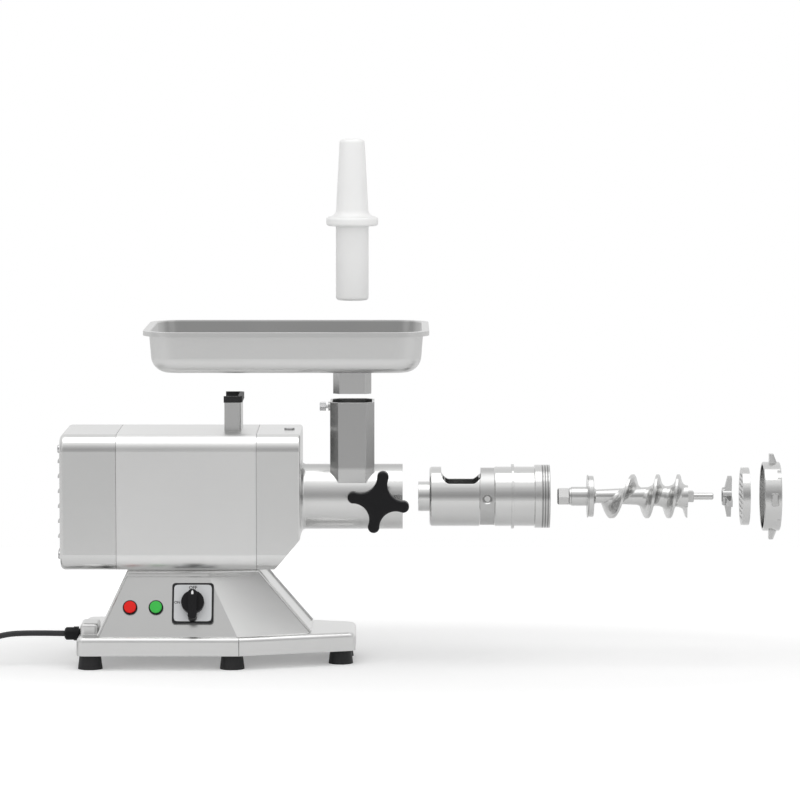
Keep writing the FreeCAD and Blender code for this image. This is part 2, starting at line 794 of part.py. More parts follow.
# Clamp screw with its four-lobed knob, backed off until its tip clears the barrel
stud_tip_y = -barrel_radius - free_gap
knob_face_y = -clamp_boss_reach - star_boss_gap
stud_end_y = knob_face_y - star_hub_length - star_thickness + star_stud_sink
stud = rod_y(clamp_tip_radius, clamp_x, axis_z, stud_tip_y - clamp_tip_length, stud_tip_y)
stud = stud.fuse(rod_y(clamp_stud_radius, clamp_x, axis_z, stud_end_y, stud_tip_y - clamp_tip_length))
save("clamp_stud", stud)


def star_wire(y):
    """Four round lobes joined by hollow arcs, seen along Y."""
    edges = []
    lobe_centre = star_reach - star_lobe_radius
    points = []
    for i in range(4):
        angle = math.radians(90 * i - star_turn)
        out = V(math.cos(angle), 0, math.sin(angle))
        side = V(-math.sin(angle), 0, math.cos(angle))
        centre = V(clamp_x, y, axis_z) + out * lobe_centre
        hollow = math.radians(90 * i + 45 - star_turn)
        waist = V(clamp_x + star_waist * math.cos(hollow), y, axis_z + star_waist * math.sin(hollow))
        points.append((centre - side * star_lobe_radius, centre + out * star_lobe_radius,
                       centre + side * star_lobe_radius, waist))
    for i in range(4):
        start, tip, end, waist = points[i]
        edges.append(Part.Arc(start, tip, end).toShape())
        edges.append(Part.Arc(end, waist, points[(i + 1) % 4][0]).toShape())
    return Part.Wire(edges)


star_back_y = knob_face_y - star_hub_length
star = prism(star_wire(star_back_y), V(0, -star_thickness, 0))
star = star.makeFillet(star_edge_radius, edges_at(star, "Y", star_back_y - star_thickness))
star = star.fuse(rod_y(star_hub_radius, clamp_x, axis_z, star_back_y, knob_face_y))
save("star_knob", star.cut(rod_y(clamp_stud_radius + running_fit, clamp_x, axis_z,
                                 stud_end_y - free_gap, 0)))

# Thumb screw that holds the tray's spout in the neck
thumb_tip_x = neck_rear_x + neck_wall - thumb_tip_back
thumb_head_x = neck_rear_x - thumb_boss_length - thumb_neck_length
shank = rod_x(thumb_shank_radius, thumb_head_x - thumb_head_length / 2, thumb_tip_x, 0, thumb_z)
save("thumb_screw_shank", shank)
head_outline = []
for i in range(2 * thumb_knurls):
    angle = math.pi * i / thumb_knurls
    reach = thumb_head_radius - thumb_knurl_depth * (i % 2)
    head_outline.append(V(thumb_head_x, reach * math.cos(angle), thumb_z + reach * math.sin(angle)))
thumb_head = prism(Part.makePolygon(head_outline + head_outline[:1]), V(-thumb_head_length, 0, 0))
shank_hole = rod_x(thumb_shank_radius + running_fit, shank.BoundBox.XMin - free_gap, thumb_head_x + 1,
                   0, thumb_z)
save("thumb_screw_head", thumb_head.cut(shank_hole))

# Tray support: a channel open towards the rear, flanged to the housing, with a rubber trim on top
support_half = support_length / 2


def channel_wall(outside, inside, z0, z1):
    """A wall round three sides of the support, from outside to inside of its sheet, open towards -X."""
    def block(grow, rear_x):
        front_x = support_x + support_half + grow
        half = support_width / 2 + grow
        shape = box(rear_x, front_x, -half, half, z0, z1)
        uprights = [edge for edge in edges_at(shape, "X", front_x) if edge.BoundBox.YLength < 0.01]
        return shape.makeFillet(support_bend + grow, uprights)
    rear_x = support_x - support_half - max(0, outside) / 2
    return block(outside, rear_x).cut(block(inside, rear_x - 1))


upright_top = housing_top + support_height
support = channel_wall(0, -support_sheet, housing_top, upright_top)
support = support.fuse(box(support_x - support_half, support_x + support_half - support_sheet,
                           support_sheet - support_width / 2, support_width / 2 - support_sheet,
                           housing_top, housing_top + support_sheet))
trim = channel_wall(trim_wall, -support_sheet - trim_wall, upright_top - trim_height, upright_top + trim_wall)
trim = trim.cut(channel_wall(running_fit, -support_sheet - running_fit, upright_top - trim_height - 1,
                             upright_top + running_fit))
support_screws = []
screw_top = housing_top + support_sheet + support_screw_head_height
for y in (-support_screw_spread / 2, support_screw_spread / 2):
    support = support.cut(rod_z(support_screw_radius + running_fit, support_x, y,
                                housing_top - 1, housing_top + support_sheet + 1))
    head = rod_z(support_screw_head_radius, support_x, y, housing_top + support_sheet, screw_top)
    support_screws.append(head.fuse(rod_z(support_screw_radius, support_x, y,
                                          housing_top - 2 * housing_wall, housing_top + support_sheet)))
save("tray_support", support.removeSplitter())
save("support_trims", trim)
save("support_screws", Part.makeCompound(support_screws))

# Feed tray: a pressed pan with a turned-down rim, and its spout
tray_x = gear_face_x - tray_back + tray_length / 2
lift = V(0, 0, tray_up)


def pan(inset, floor, bottom_radius):
    """The pan's tapering block, drawn in by inset, with its bottom edge rounded."""
    wires = []
    for z, taper in ((floor, tray_taper), (tray_rim_z, 0.0)):
        shrink = 2 * (tray_rim + inset + taper)
        plan = rectangle_z(tray_x, 0, tray_length - shrink, tray_width - shrink, z)
        wires.append(rounded_polygon(plan, [tray_corner - tray_rim - inset - taper / 2] * 4))
    block = Part.makeLoft(wires, True, True)
    return block.makeFillet(bottom_radius, edges_at(block, "Z", floor))


def rim_block(inset, z0, z1):
    plan = rectangle_z(tray_x, 0, tray_length - 2 * inset, tray_width - 2 * inset, z0)
    return prism(rounded_polygon(plan, [tray_corner - inset] * 4), V(0, 0, z1 - z0))


spout_length_x = neck_inner_length - 2 * spout_gap
spout_width_y = neck_inner_width - 2 * spout_gap
spout_chamfer = neck_inner_chamfer - spout_gap * (2 - math.sqrt(2))
spout_bore_x = spout_length_x - 2 * spout_sheet
spout_bore_y = spout_width_y - 2 * spout_sheet
spout_bore_chamfer = spout_chamfer - spout_sheet * (2 - math.sqrt(2))

tray = rim_block(0, tray_rim_z - tray_lip, tray_rim_z)
tray = tray.cut(rim_block(tray_sheet, tray_rim_z - tray_lip - 1, tray_rim_z - tray_sheet))
tray = tray.fuse(pan(0, tray_floor, tray_bottom_radius))
tray = tray.cut(pan(tray_sheet, tray_floor + tray_sheet, tray_bottom_radius - tray_sheet))
tray = tray.cut(chamfered_block(neck_x, spout_bore_x, spout_bore_y, spout_bore_chamfer,
                                tray_floor - 1, tray_floor + tray_sheet + 1))
save("feed_tray", tray.removeSplitter().translated(lift))
spout = chamfered_block(neck_x, spout_length_x, spout_width_y, spout_chamfer,
                        tray_floor - spout_length, tray_floor)
spout = spout.cut(chamfered_block(neck_x, spout_bore_x, spout_bore_y, spout_bore_chamfer,
                                  tray_floor - spout_length - 1, tray_floor + 1))
save("tray_spout", spout.translated(lift))

# Pusher: a turned plastic rod with a stop flange, seated on the tray's floor when it is down
flange_z = tray_floor + tray_sheet + free_gap
flange_top = flange_z + pusher_flange_height
handle_top = flange_top + pusher_handle_length
shaft_end = flange_z - pusher_shaft_length
pusher_outline = [V(0, 0, shaft_end), V(pusher_shaft_radius, 0, shaft_end),
                  V(pusher_shaft_radius, 0, flange_z), V(pusher_flange_radius, 0, flange_z),
                  V(pusher_flange_radius, 0, flange_top),
                  V(pusher_handle_base_radius, 0, flange_top), V(pusher_handle_top_radius, 0, handle_top),
                  V(0, 0, handle_top)]
pusher_face = Part.Face(Part.makePolygon(pusher_outline + pusher_outline[:1]))
pusher = pusher_face.revolve(V(0, 0, 0), V(0, 0, 1), 360)


def ring_edges(z, radius):
    """The pusher's round edges at this height and radius."""
    return [edge for edge in edges_at(pusher, "Z", z) if abs(edge.BoundBox.XMax - radius) < 0.01]


pusher = pusher.makeFillet(pusher_shaft_root_radius, ring_edges(flange_z, pusher_shaft_radius))
pusher = pusher.makeFillet(pusher_root_radius, ring_edges(flange_top, pusher_handle_base_radius))
rims = ring_edges(shaft_end, pusher_shaft_radius) + ring_edges(flange_z, pusher_flange_radius)
rims += ring_edges(flange_top, pusher_flange_radius) + ring_edges(handle_top, pusher_handle_top_radius)
pusher = pusher.makeFillet(pusher_edge_radius, rims)
save("pusher", pusher.translated(V(neck_x, 0, 0) + lift + V(0, 0, pusher_up)))

# Feed barrel, with the opening under the neck, the clamp groove and the plate's seat
barrel_shift = V(barrel_out, 0, 0)
worm_shift = V(barrel_out + worm_out, 0, 0)
knife_shift = worm_shift + V(knife_out, 0, 0)
plate_shift = worm_shift + V(plate_out, 0, 0)
ring_shift = plate_shift + V(ring_out, 0, 0)
barrel_front_x = barrel_rear_x + barrel_length
nose_x = barrel_front_x - nose_length
bead_x = hub_front_x + free_gap
groove_bottom = barrel_radius - groove_depth
spigot_x = barrel_rear_x - barrel_spigot_length
groove_rear_x = clamp_x - groove_width / 2
groove_front_x = clamp_x + groove_width / 2
bead_front_x = bead_x + bead_width
bead_radius = barrel_radius + bead_rise
barrel = turned_x([(spigot_x, 0), (spigot_x, barrel_spigot_radius), (barrel_rear_x, barrel_spigot_radius),
                   (barrel_rear_x, barrel_radius - barrel_rear_chamfer),
                   (barrel_rear_x + barrel_rear_chamfer, barrel_radius),
                   (groove_rear_x - groove_depth, barrel_radius), (groove_rear_x, groove_bottom),
                   (groove_front_x, groove_bottom), (groove_front_x + groove_depth, barrel_radius),
                   (bead_x, barrel_radius), (bead_x, bead_radius),
                   (bead_front_x, bead_radius), (bead_front_x, barrel_radius),
                   (nose_x, barrel_radius), (nose_x + nose_chamfer, nose_radius),
                   (barrel_front_x, nose_radius), (barrel_front_x, 0)])
barrel = barrel.cut(rod_x(journal_radius + running_fit, spigot_x - 1, washer_x + 1))
barrel = barrel.cut(rod_x(barrel_bore_radius, washer_x, barrel_front_x + 1))
plate_seat_radius = plate_radius + 2 * sliding_fit
barrel = barrel.cut(rod_x(plate_seat_radius, plate_x - free_gap, barrel_front_x + 1))
feed_plan = rectangle_z(neck_x, 0, barrel_feed_length, barrel_feed_width, axis_z)
barrel = barrel.cut(prism(rounded_polygon(feed_plan, [barrel_feed_corner] * 4), V(0, 0, 2 * barrel_radius)))
barrel = barrel.cut(Part.makeCone(dimple_radius - dimple_depth, dimple_radius, dimple_depth,
                                  V(clamp_x, dimple_depth - groove_bottom, axis_z), V(0, -1, 0)))
key_rod = rod_x(key_radius, barrel_front_x - key_length, barrel_front_x, 0, axis_z + plate_seat_radius)
save("barrel", barrel.cut(key_rod).translated(barrel_shift))
save("plate_key", key_rod.translated(barrel_shift))

# Worm: hexagon drive, journal, thrust flange, tapering core with a flight of closing pitch, knife square


def hexagon_x(flats, x0, x1):
    corners = []
    for i in range(6):
        angle = math.radians(60 * i)
        reach = flats / math.sqrt(3)
        corners.append(V(x0, reach * math.cos(angle), axis_z + reach * math.sin(angle)))
    return prism(Part.makePolygon(corners + corners[:1]), V(x1 - x0, 0, 0))


def square_x(side, x0, x1):
    return box(x0, x1, -side / 2, side / 2, axis_z - side / 2, axis_z + side / 2)


hex_end_x = worm_flange_x - journal_length
hex_start_x = hex_end_x - hex_length
stud_start_x = flight_end_x + square_length


def core_radius(x):
    share = (x - flight_start_x) / worm_flight_length
    return worm_core_start + (worm_core_end - worm_core_start) * share


# Stations of the flight along X, each with its angle: it is lowest after the first half turn
first_low_x = flight_start_x + first_half_turn_share * worm_flight_length
flight_lead_in = flight_lead_in_share * worm_flight_length
flight_stations = [(first_low_x - flight_lead_in, 360.0), (first_low_x, 270.0)]
for advance_share in half_turn_shares:
    last_x, last_angle = flight_stations[-1]
    flight_stations.append((last_x + advance_share * worm_flight_length, last_angle - 180.0))
last_x, last_angle = flight_stations[-1]
tail_share = (flight_end_x - last_x) / (half_turn_shares[-1] * worm_flight_length)
flight_stations.append((flight_end_x, last_angle - 180.0 * tail_share))


def flight_section(x, angle, crest):
    """The flight's outline in the half plane through the axis at this angle: wide root, narrow crest."""
    out = V(0, math.cos(math.radians(angle)), math.sin(math.radians(angle)))
    inner = core_radius(x) - flight_sink
    flank = core_radius(x) + (crest - core_radius(x)) * flank_share
    outline = [(-flight_root / 2, inner), (-flight_waist / 2, flank), (-flight_tip / 2, crest),
               (flight_tip / 2, crest), (flight_waist / 2, flank), (flight_root / 2, inner)]
    corners = [V(x + step, 0, axis_z) + out * radius for step, radius in outline]
    return Part.makePolygon(corners + corners[:1])


sections = []
for (x0, angle0), (x1, angle1) in zip(flight_stations[:-1], flight_stations[1:]):
    steps = max(2, round((angle0 - angle1) / flight_step))
    for i in range(steps):
        share = i / steps
        x = x0 + (x1 - x0) * share
        lead = min(1.0, (x - flight_stations[0][0]) / flight_lead_in)
        low = core_radius(x) + flight_sink
        crest = low + (worm_radius - low) * math.sin(lead * math.pi / 2)
        sections.append(flight_section(x, angle0 + (angle1 - angle0) * share, crest))
sections.append(flight_section(flight_end_x - flight_root / 2, flight_stations[-1][1], worm_radius))
flight = Part.makeLoft(sections[:-2] + sections[-1:], True, True)
flight = flight.common(rod_x(worm_radius + flight_sink, flight_start_x, flight_end_x))
relief_x = hex_end_x + hex_relief_length
relief_radius = journal_radius - hex_relief
core = turned_x([(hex_end_x, 0), (hex_end_x, relief_radius), (relief_x, relief_radius),
                 (relief_x, journal_radius), (worm_flange_x, journal_radius),
                 (worm_flange_x, worm_flange_radius), (flight_start_x, worm_flange_radius),
                 (flight_start_x, worm_core_start + worm_root_fillet),
                 (flight_start_x + worm_root_fillet, worm_core_start),
                 (flight_end_x, worm_core_end), (flight_end_x, 0)])
worm = core.fuse(flight)
worm = worm.fuse(hexagon_x(hex_flats, hex_start_x, hex_end_x))
worm = worm.fuse(square_x(square_side, flight_end_x, stud_start_x))
worm = worm.fuse(rod_x(stud_radius, stud_start_x, stud_start_x + stud_length))
save("feed_screw", worm.translated(worm_shift))
print("worm volume", round(worm.Volume), "solids", len(worm.Solids), "valid", worm.isValid())

washer = tube_x(washer_radius, journal_radius + running_fit, washer_x, worm_flange_x - running_fit)
save("thrust_washer", washer.translated(worm_shift))

# Knife: four arms on a square hub, flat towards the plate and thinning towards the tips behind
knife_front_x = knife_x + knife_thickness
knife = rod_x(knife_hub_radius, knife_x, knife_front_x)
for i in range(4):
    arm_low = axis_z - knife_arm_width / 2
    arm = [V(knife_x, 0, arm_low), V(knife_x, knife_radius, arm_low),
           V(knife_x, knife_radius, arm_low + knife_arm_tip), V(knife_x, 0, arm_low + knife_arm_width)]
    blade = prism(Part.makePolygon(arm + arm[:1]), V(knife_thickness, 0, 0))
    blade.rotate(V(0, 0, axis_z), V(1, 0, 0), 90 * i + knife_turn)
    knife = knife.fuse(blade)
knife_envelope = turned_x([(knife_x, 0), (knife_x, knife_hub_radius),
                           (knife_x + knife_hub_length, knife_hub_radius + knife_hub_flare),
                           (knife_front_x - knife_tip_thickness, knife_radius), (knife_front_x, knife_radius),
                           (knife_front_x, 0)])
knife = knife.common(knife_envelope)
knife = knife.cut(square_x(square_side + 2 * sliding_fit, knife_x - 1, knife_front_x + 1))
save("knife", knife.removeSplitter().translated(knife_shift))

# Perforated plate, with its key notch
plate_front_x = plate_x + plate_thickness
plate = rod_x(plate_radius, plate_x, plate_front_x)
plate = plate.cut(rod_x(stud_radius + running_fit, plate_x - 1, plate_front_x + 1))
plate = plate.cut(rod_x(key_radius + free_gap, plate_x - 1, plate_front_x + 1, 0, axis_z + plate_seat_radius))
rows = int(plate_hole_field / (plate_hole_pitch * math.sqrt(3) / 2))
columns = int(plate_hole_field / plate_hole_pitch) + 1
holes = []
for row in range(-rows, rows + 1):
    for column in range(-columns, columns + 1):
        y = (column + 0.5 * (row % 2)) * plate_hole_pitch
        z = row * plate_hole_pitch * math.sqrt(3) / 2
        reach = math.hypot(y, z)
        if stud_radius + plate_hole_radius < reach <= plate_hole_field:
            holes.append(rod_x(plate_hole_radius, plate_x - 1, plate_front_x + 1, y, axis_z + z))
plate = plate.cut(Part.makeCompound(holes))
save("perforated_plate", plate.translated(plate_shift))
print("plate holes", len(holes))

# Ring nut: threaded over the barrel's nose, with four lugs to turn it by
ring_front_x = ring_x + ring_length
ring_wall_x = plate_front_x + free_gap
ring = turned_x([(ring_x, nose_radius + free_gap), (ring_x, ring_radius - ring_chamfer),
                 (ring_x + ring_chamfer, ring_radius), (ring_front_x - ring_chamfer, ring_radius),
                 (ring_front_x, ring_radius - ring_chamfer),
                 (ring_front_x, ring_mouth_radius + ring_mouth_flare), (ring_wall_x, ring_mouth_radius),
                 (ring_wall_x, nose_radius + free_gap)])
for i in range(lug_count):
    angle = 360 / lug_count * i
    scallop = rod_x(scallop_radius, ring_front_x - lug_tip_length, ring_front_x + 1, 0,
                    axis_z + ring_radius + scallop_radius - scallop_bite)
    scallop.rotate(V(0, 0, axis_z), V(1, 0, 0), angle + 180 / lug_count)
    ring = ring.cut(scallop)
    lug_x = ring_x + lug_back
    lug_root = axis_z + ring_radius - lug_sink
    lug_tip = axis_z + lug_reach
    side_view = [V(lug_x, -lug_width / 2, lug_root), V(lug_x + lug_length, -lug_width / 2, lug_root),
                 V(lug_x + lug_tip_length, -lug_width / 2, lug_tip), V(lug_x, -lug_width / 2, lug_tip)]
    lug = prism(Part.makePolygon(side_view + side_view[:1]), V(0, lug_width, 0))
    upright = [edge for edge in lug.Edges if edge.BoundBox.YLength < 0.01 and edge.BoundBox.ZLength > 1]
    lug = lug.makeFillet(lug_edge, upright)
    lug.rotate(V(0, 0, axis_z), V(1, 0, 0), angle)
    ring = ring.fuse(lug)
save("ring_nut", ring.removeSplitter().translated(ring_shift))

# Gear train. Teeth are straight-sided and thin enough to run with backlash.


def gear_x(module, teeth, x0, x1, y, z, tooth_angle):
    """A spur gear on a line along X, with one tooth centred at the given angle from +Y towards +Z."""
    pitch_radius = module * teeth / 2
    half_tooth = math.pi / teeth * tooth_share
    outline = []
    for i in range(teeth):
        middle = math.radians(tooth_angle) + 2 * math.pi * i / teeth
        for turn, reach in ((-tooth_root_share, -dedendum_share), (-tooth_tip_share, addendum_share),
                            (tooth_tip_share, addendum_share), (tooth_root_share, -dedendum_share)):
            angle = middle + turn * half_tooth
            radius = pitch_radius + reach * module
            outline.append(V(x0, y + radius * math.cos(angle), z + radius * math.sin(angle)))
    return prism(Part.makePolygon(outline + outline[:1]), V(x1 - x0, 0, 0))


plate_front_face_x = case_rear_x + bearing_plate_thickness
fine_x = plate_front_face_x + gear_side_gap
coarse_x = fine_x + fine_face + gear_side_gap
away_angle = counter_angle + 180

motor_pinion = gear_x(fine_module, motor_pinion_teeth, fine_x, fine_x + fine_face, 0, axis_z, counter_angle)
counter_gear_gap = away_angle + 180 / counter_gear_teeth
counter_gear = gear_x(fine_module, counter_gear_teeth, fine_x, fine_x + fine_face, counter_y, counter_z,
                      counter_gear_gap)
counter_gear = counter_gear.cut(rod_x(counter_shaft_radius + running_fit, fine_x - 1, fine_x + fine_face + 1,
                                      counter_y, counter_z))
save("countershaft_gear", counter_gear)
coarse_end_x = coarse_x + coarse_face
counter_pinion = gear_x(coarse_module, counter_pinion_teeth, coarse_x, coarse_end_x, counter_y, counter_z,
                        away_angle)
countershaft = rod_x(counter_shaft_radius, case_rear_x, counter_front_x, counter_y, counter_z)
save("countershaft", countershaft.fuse(counter_pinion))
output_gear = gear_x(coarse_module, output_gear_teeth, coarse_x, coarse_end_x, 0, axis_z,
                     counter_angle + 180 / output_gear_teeth)
output_gear = output_gear.cut(rod_x(drive_nose_radius + running_fit, coarse_x - 1, coarse_end_x + 1))
save("output_gear", output_gear)

# Drive shaft with the hexagon socket, its bearings and the seal in front of them
nose_end_x = gear_face_x + drive_nose_ahead
bearing_front_x = gear_face_x + drive_bearing_ahead
drive_shaft = turned_x([(coarse_x, 0), (coarse_x, drive_nose_radius), (bearing_rear_x, drive_nose_radius),
                        (bearing_rear_x, drive_shaft_radius), (bearing_front_x, drive_shaft_radius),
                        (bearing_front_x, drive_nose_radius), (nose_end_x, drive_nose_radius),
                        (nose_end_x, 0)])
drive_shaft = drive_shaft.cut(hexagon_x(hex_flats + 2 * free_gap, hex_start_x - free_gap, nose_end_x + 1))
save("drive_shaft", drive_shaft)
drive_bearings = []
for i in range(2):
    start = bearing_rear_x + i * drive_bearing_width
    drive_bearings.append(tube_x(drive_bearing_radius, drive_shaft_radius + running_fit, start,
                                 start + drive_bearing_width))
save("drive_bearings", Part.makeCompound(drive_bearings))
save("shaft_seal", tube_x(seat_radius, drive_nose_radius + running_fit, bearing_front_x,
                          bearing_front_x + seal_width))

counter_bearings = [tube_x(counter_bearing_radius, counter_shaft_radius + running_fit, case_rear_x,
                           case_rear_x + counter_bearing_width, counter_y, counter_z),
                    tube_x(counter_bearing_radius, counter_shaft_radius + running_fit,
                           counter_front_x - counter_bearing_width, counter_front_x, counter_y, counter_z)]
save("countershaft_bearings", Part.makeCompound(counter_bearings))

# Bearing plate between motor and gears, and the motor's rear end shield with its posts
bearing_plate = housing_block(case_rear_x, plate_front_face_x, gear_case_wall + free_gap)
bearing_plate = bearing_plate.cut(gear_chamfer(gear_case_wall + free_gap))
pocket_x = case_rear_x - motor_bearing_width
bearing_plate = bearing_plate.fuse(rod_x(motor_bearing_radius + housing_wall, pocket_x, case_rear_x))
bearing_plate = bearing_plate.cut(rod_x(motor_bearing_radius, pocket_x - 1, case_rear_x))
bearing_plate = bearing_plate.cut(rod_x(rotor_shaft_radius + free_gap, case_rear_x - 1,
                                        plate_front_face_x + 1))
bearing_plate = bearing_plate.cut(rod_x(counter_bearing_radius, case_rear_x - 1,
                                        case_rear_x + counter_bearing_width, counter_y, counter_z))
bearing_plate = bearing_plate.cut(rod_x(counter_shaft_radius + free_gap, case_rear_x, plate_front_face_x + 1,
                                        counter_y, counter_z))
save("bearing_plate", bearing_plate)

shield_x = gear_face_x - shield_back
shield_front_x = shield_x + end_shield_thickness
shield = housing_block(shield_x, shield_front_x, housing_wall + free_gap)
shield = shield.fuse(rod_x(motor_bearing_radius + housing_wall, shield_front_x,
                           shield_x + motor_bearing_width))
rear_inner_x = rear_end_x + housing_wall
shank_end = rear_inner_x + cover_screw_reach
head_x = rear_end_x - cover_screw_head_height
housing_screws = []
for y in (-post_offset_y, post_offset_y):
    for z in (axis_z - post_offset_z, axis_z + post_offset_z):
        shield = shield.fuse(rod_x(post_radius, rear_inner_x, shield_x, y, z))
        shield = shield.cut(rod_x(cover_screw_radius + running_fit, rear_inner_x - 1, shank_end + 1, y, z))
        head = rod_x(cover_screw_head_radius, head_x, rear_end_x, y, z)
        head = head.makeFillet(cover_screw_head_edge, edges_at(head, "X", head_x))
        housing_screws.append(head.fuse(rod_x(cover_screw_radius, rear_end_x, shank_end, y, z)))
shield = shield.cut(rod_x(motor_bearing_radius, shield_x, shield_x + motor_bearing_width + 1))
shield = shield.cut(rod_x(rotor_shaft_radius + free_gap, shield_x - 1, shield_x + 1))
save("motor_end_shield", shield)
save("housing_screws", Part.makeCompound(housing_screws))

# Motor: stator on its cradle, windings, rotor, shaft, bearings and fan
stator_x = gear_face_x - stator_back
stator_end_x = stator_x + stator_length
stator_bore = rotor_radius + air_gap
save("stator", tube_x(stator_radius, stator_bore, stator_x, stator_end_x))
windings = [tube_x(winding_radius, winding_bore_radius, stator_x - winding_length, stator_x),
            tube_x(winding_radius, winding_bore_radius, stator_end_x, stator_end_x + winding_length)]
save("stator_windings", Part.makeCompound(windings))
cradles = []
for start in (stator_x, stator_end_x - cradle_length):
    cradle = box(start, start + cradle_length, -cradle_width / 2, cradle_width / 2,
                 housing_bottom + housing_wall, axis_z - stator_radius / 2)
    cradles.append(cradle.cut(rod_x(stator_radius + running_fit, start - 1, start + cradle_length + 1)))
save("motor_cradle", Part.makeCompound(cradles))
rotor = tube_x(rotor_radius, rotor_shaft_radius, stator_x, stator_end_x)
save("rotor_core", rotor)
fan_x = rear_inner_x + fan_back_gap
rotor_shaft = rod_x(rotor_shaft_radius, fan_x, fine_x).fuse(motor_pinion)
save("rotor_shaft", rotor_shaft)
motor_bearings = [tube_x(motor_bearing_radius, rotor_shaft_radius + running_fit, shield_x + 1,
                         shield_x + motor_bearing_width),
                  tube_x(motor_bearing_radius, rotor_shaft_radius + running_fit, pocket_x,
                         case_rear_x - seam)]
save("motor_bearings", Part.makeCompound(motor_bearings))
fan_end_x = fan_x + fan_width
fan = rod_x(fan_hub_radius, fan_x, fan_end_x).fuse(rod_x(fan_radius, fan_end_x - fan_disc, fan_end_x))
for i in range(fan_blades):
    blade = box(fan_x, fan_end_x, fan_hub_radius - 1, fan_radius, axis_z - fan_blade_thickness / 2,
                axis_z + fan_blade_thickness / 2)
    blade.rotate(V(0, 0, axis_z), V(1, 0, 0), 360 / fan_blades * i)
    fan = fan.fuse(blade)
save("cooling_fan", fan.cut(rod_x(rotor_shaft_radius + running_fit, fan_x - 1, fan_end_x + 1)))

# Run capacitor, standing on the base inside the pedestal
capacitor_top = base_top + capacitor_height
capacitor = rod_z(capacitor_radius, gear_face_x - capacitor_back, capacitor_y, base_top, capacitor_top)
save("capacitor", capacitor.makeFillet(capacitor_edge, edges_at(capacitor, "Z", capacitor_top)))

# Mains lead. The gland screws into the base's rear wall.
gland_end_x = base_rear_x - gland_length
gland_nut_x = base_rear_x - gland_nut_length
gland_nut_radius = gland_radius + gland_nut_rise
gland_root_x = base_rear_x + gland_thread_length
gland = turned_x([(gland_end_x, cord_radius), (gland_end_x, gland_radius - gland_nose),
                  (gland_end_x + gland_nose, gland_radius), (gland_nut_x, gland_radius),
                  (gland_nut_x, gland_nut_radius), (base_rear_x, gland_nut_radius),
                  (base_rear_x, gland_thread_radius), (gland_root_x, gland_thread_radius),
                  (gland_root_x, cord_radius)], gland_y, gland_z)
save("cable_gland", gland)

# Route of the free stretch, from the gland's mouth down to the coil, chosen by hand
coil_z = tie_thickness + free_gap + cord_radius
route = [V(gland_end_x, gland_y, gland_z), V(gland_end_x - 38, gland_y + 0.4, gland_z + 0.8),
         V(gland_end_x - 78, gland_y - 0.6, gland_z - 1.0), V(gland_end_x - 111, gland_y - 2.5, 21.5),
         V(gland_end_x - 143, gland_y - 4.0, coil_z + 0.9), V(gland_end_x - 178, gland_y - 4.0, coil_z)]


def cord_path(points):
    """Straight runs joined by tangent arcs, each as large as the runs beside it allow."""
    edges = []
    radii = []
    start = points[0]
    for i in range(1, len(points) - 1):
        back = points[i - 1] - points[i]
        ahead = points[i + 1] - points[i]
        turn = math.pi - back.getAngle(ahead)
        reach = 0.45 * min(back.Length, ahead.Length)
        radius = reach / math.tan(turn / 2)
        radii.append(round(radius, 1))
        back.normalize()
        ahead.normalize()
        first = points[i] + back * reach
        last = points[i] + ahead * reach
        sagitta = radius / math.cos(turn / 2) - radius
        middle = points[i] + (back + ahead).normalize() * sagitta
        edges.append(Part.LineSegment(start, first).toShape())
        edges.append(Part.Arc(first, middle, last).toShape())
        start = last
    edges.append(Part.LineSegment(start, points[-1]).toShape())
    return edges, radii


def cord_tube(edges):
    path = Part.Wire(edges)
    first = path.Edges[0]
    start = first.FirstParameter
    section = Part.Circle(first.valueAt(start), first.tangentAt(start), cord_radius).toShape()
    return path.makePipeShell([Part.Wire([section])], True, False), path.Length


edges, radii = cord_path(route)
cord, free_length = cord_tube(edges)
save("mains_cord", cord)
cord_section = math.pi * cord_radius ** 2
print("cord arc radii", radii, "volume share", round(cord.Volume / (cord_section * free_length), 4))

# Coil: half turns spiralling in on the lower layer, a climbing half turn, and out again on the upper layer
coil_start = route[-1] + V(-running_fit, 0, 0)
coil_edges = []
coil_points = []


def add_arc(first, middle, last):
    arc = Part.Arc(first, middle, last).toShape()
    coil_edges.append(arc)
    coil_points.extend(arc.discretize(24)[1:])


entry = coil_start + V(-2 * cord_radius, 0, 0)
coil_edges.append(Part.LineSegment(coil_start, entry).toShape())
coil_points.extend([coil_start, entry])
here = entry
heading = 1
step = coil_pitch / 2
for i in range(coil_half_turns_in):
    radius = coil_outer_radius - i * step
    centre = here + V(0, heading * radius, 0)
    add_arc(here, centre + V(-heading * radius, 0, 0), centre + V(0, heading * radius, 0))
    here = centre + V(0, heading * radius, 0)
    heading = -heading
climb_radius = coil_outer_radius - coil_half_turns_in * step
climb_centre = here + V(0, heading * climb_radius, coil_pitch / 2)
climb_reach = math.hypot(climb_radius, coil_pitch / 2)
half_way = climb_centre + V(-heading * climb_reach, 0, 0)
top = here + V(0, 2 * heading * climb_radius, coil_pitch)
for first, last in ((here, half_way), (half_way, top)):
    outward = (first - climb_centre + last - climb_centre).normalize()
    add_arc(first, climb_centre + outward * climb_reach, last)
here = top
heading = -heading
for i in range(coil_half_turns_out):
    radius = climb_radius + (i + 1) * step
    centre = here + V(0, heading * radius, 0)
    add_arc(here, centre + V(-heading * radius, 0, 0), centre + V(0, heading * radius, 0))
    here = centre + V(0, heading * radius, 0)
    heading = -heading
tail_end = here + V(-tail_length, 0, 0)
coil_edges.append(Part.LineSegment(here, tail_end).toShape())
coil_points.append(tail_end)
coil, coil_length = cord_tube(coil_edges)
save("cord_coil", coil)
least = 1000.0
for i in range(len(coil_points)):
    for j in range(i + 12, len(coil_points)):
        least = min(least, coil_points[i].distanceToPoint(coil_points[j]) - 2 * cord_radius)
print("coil length", round(coil_length), "least gap", round(least, 2), "valid", coil.isValid())
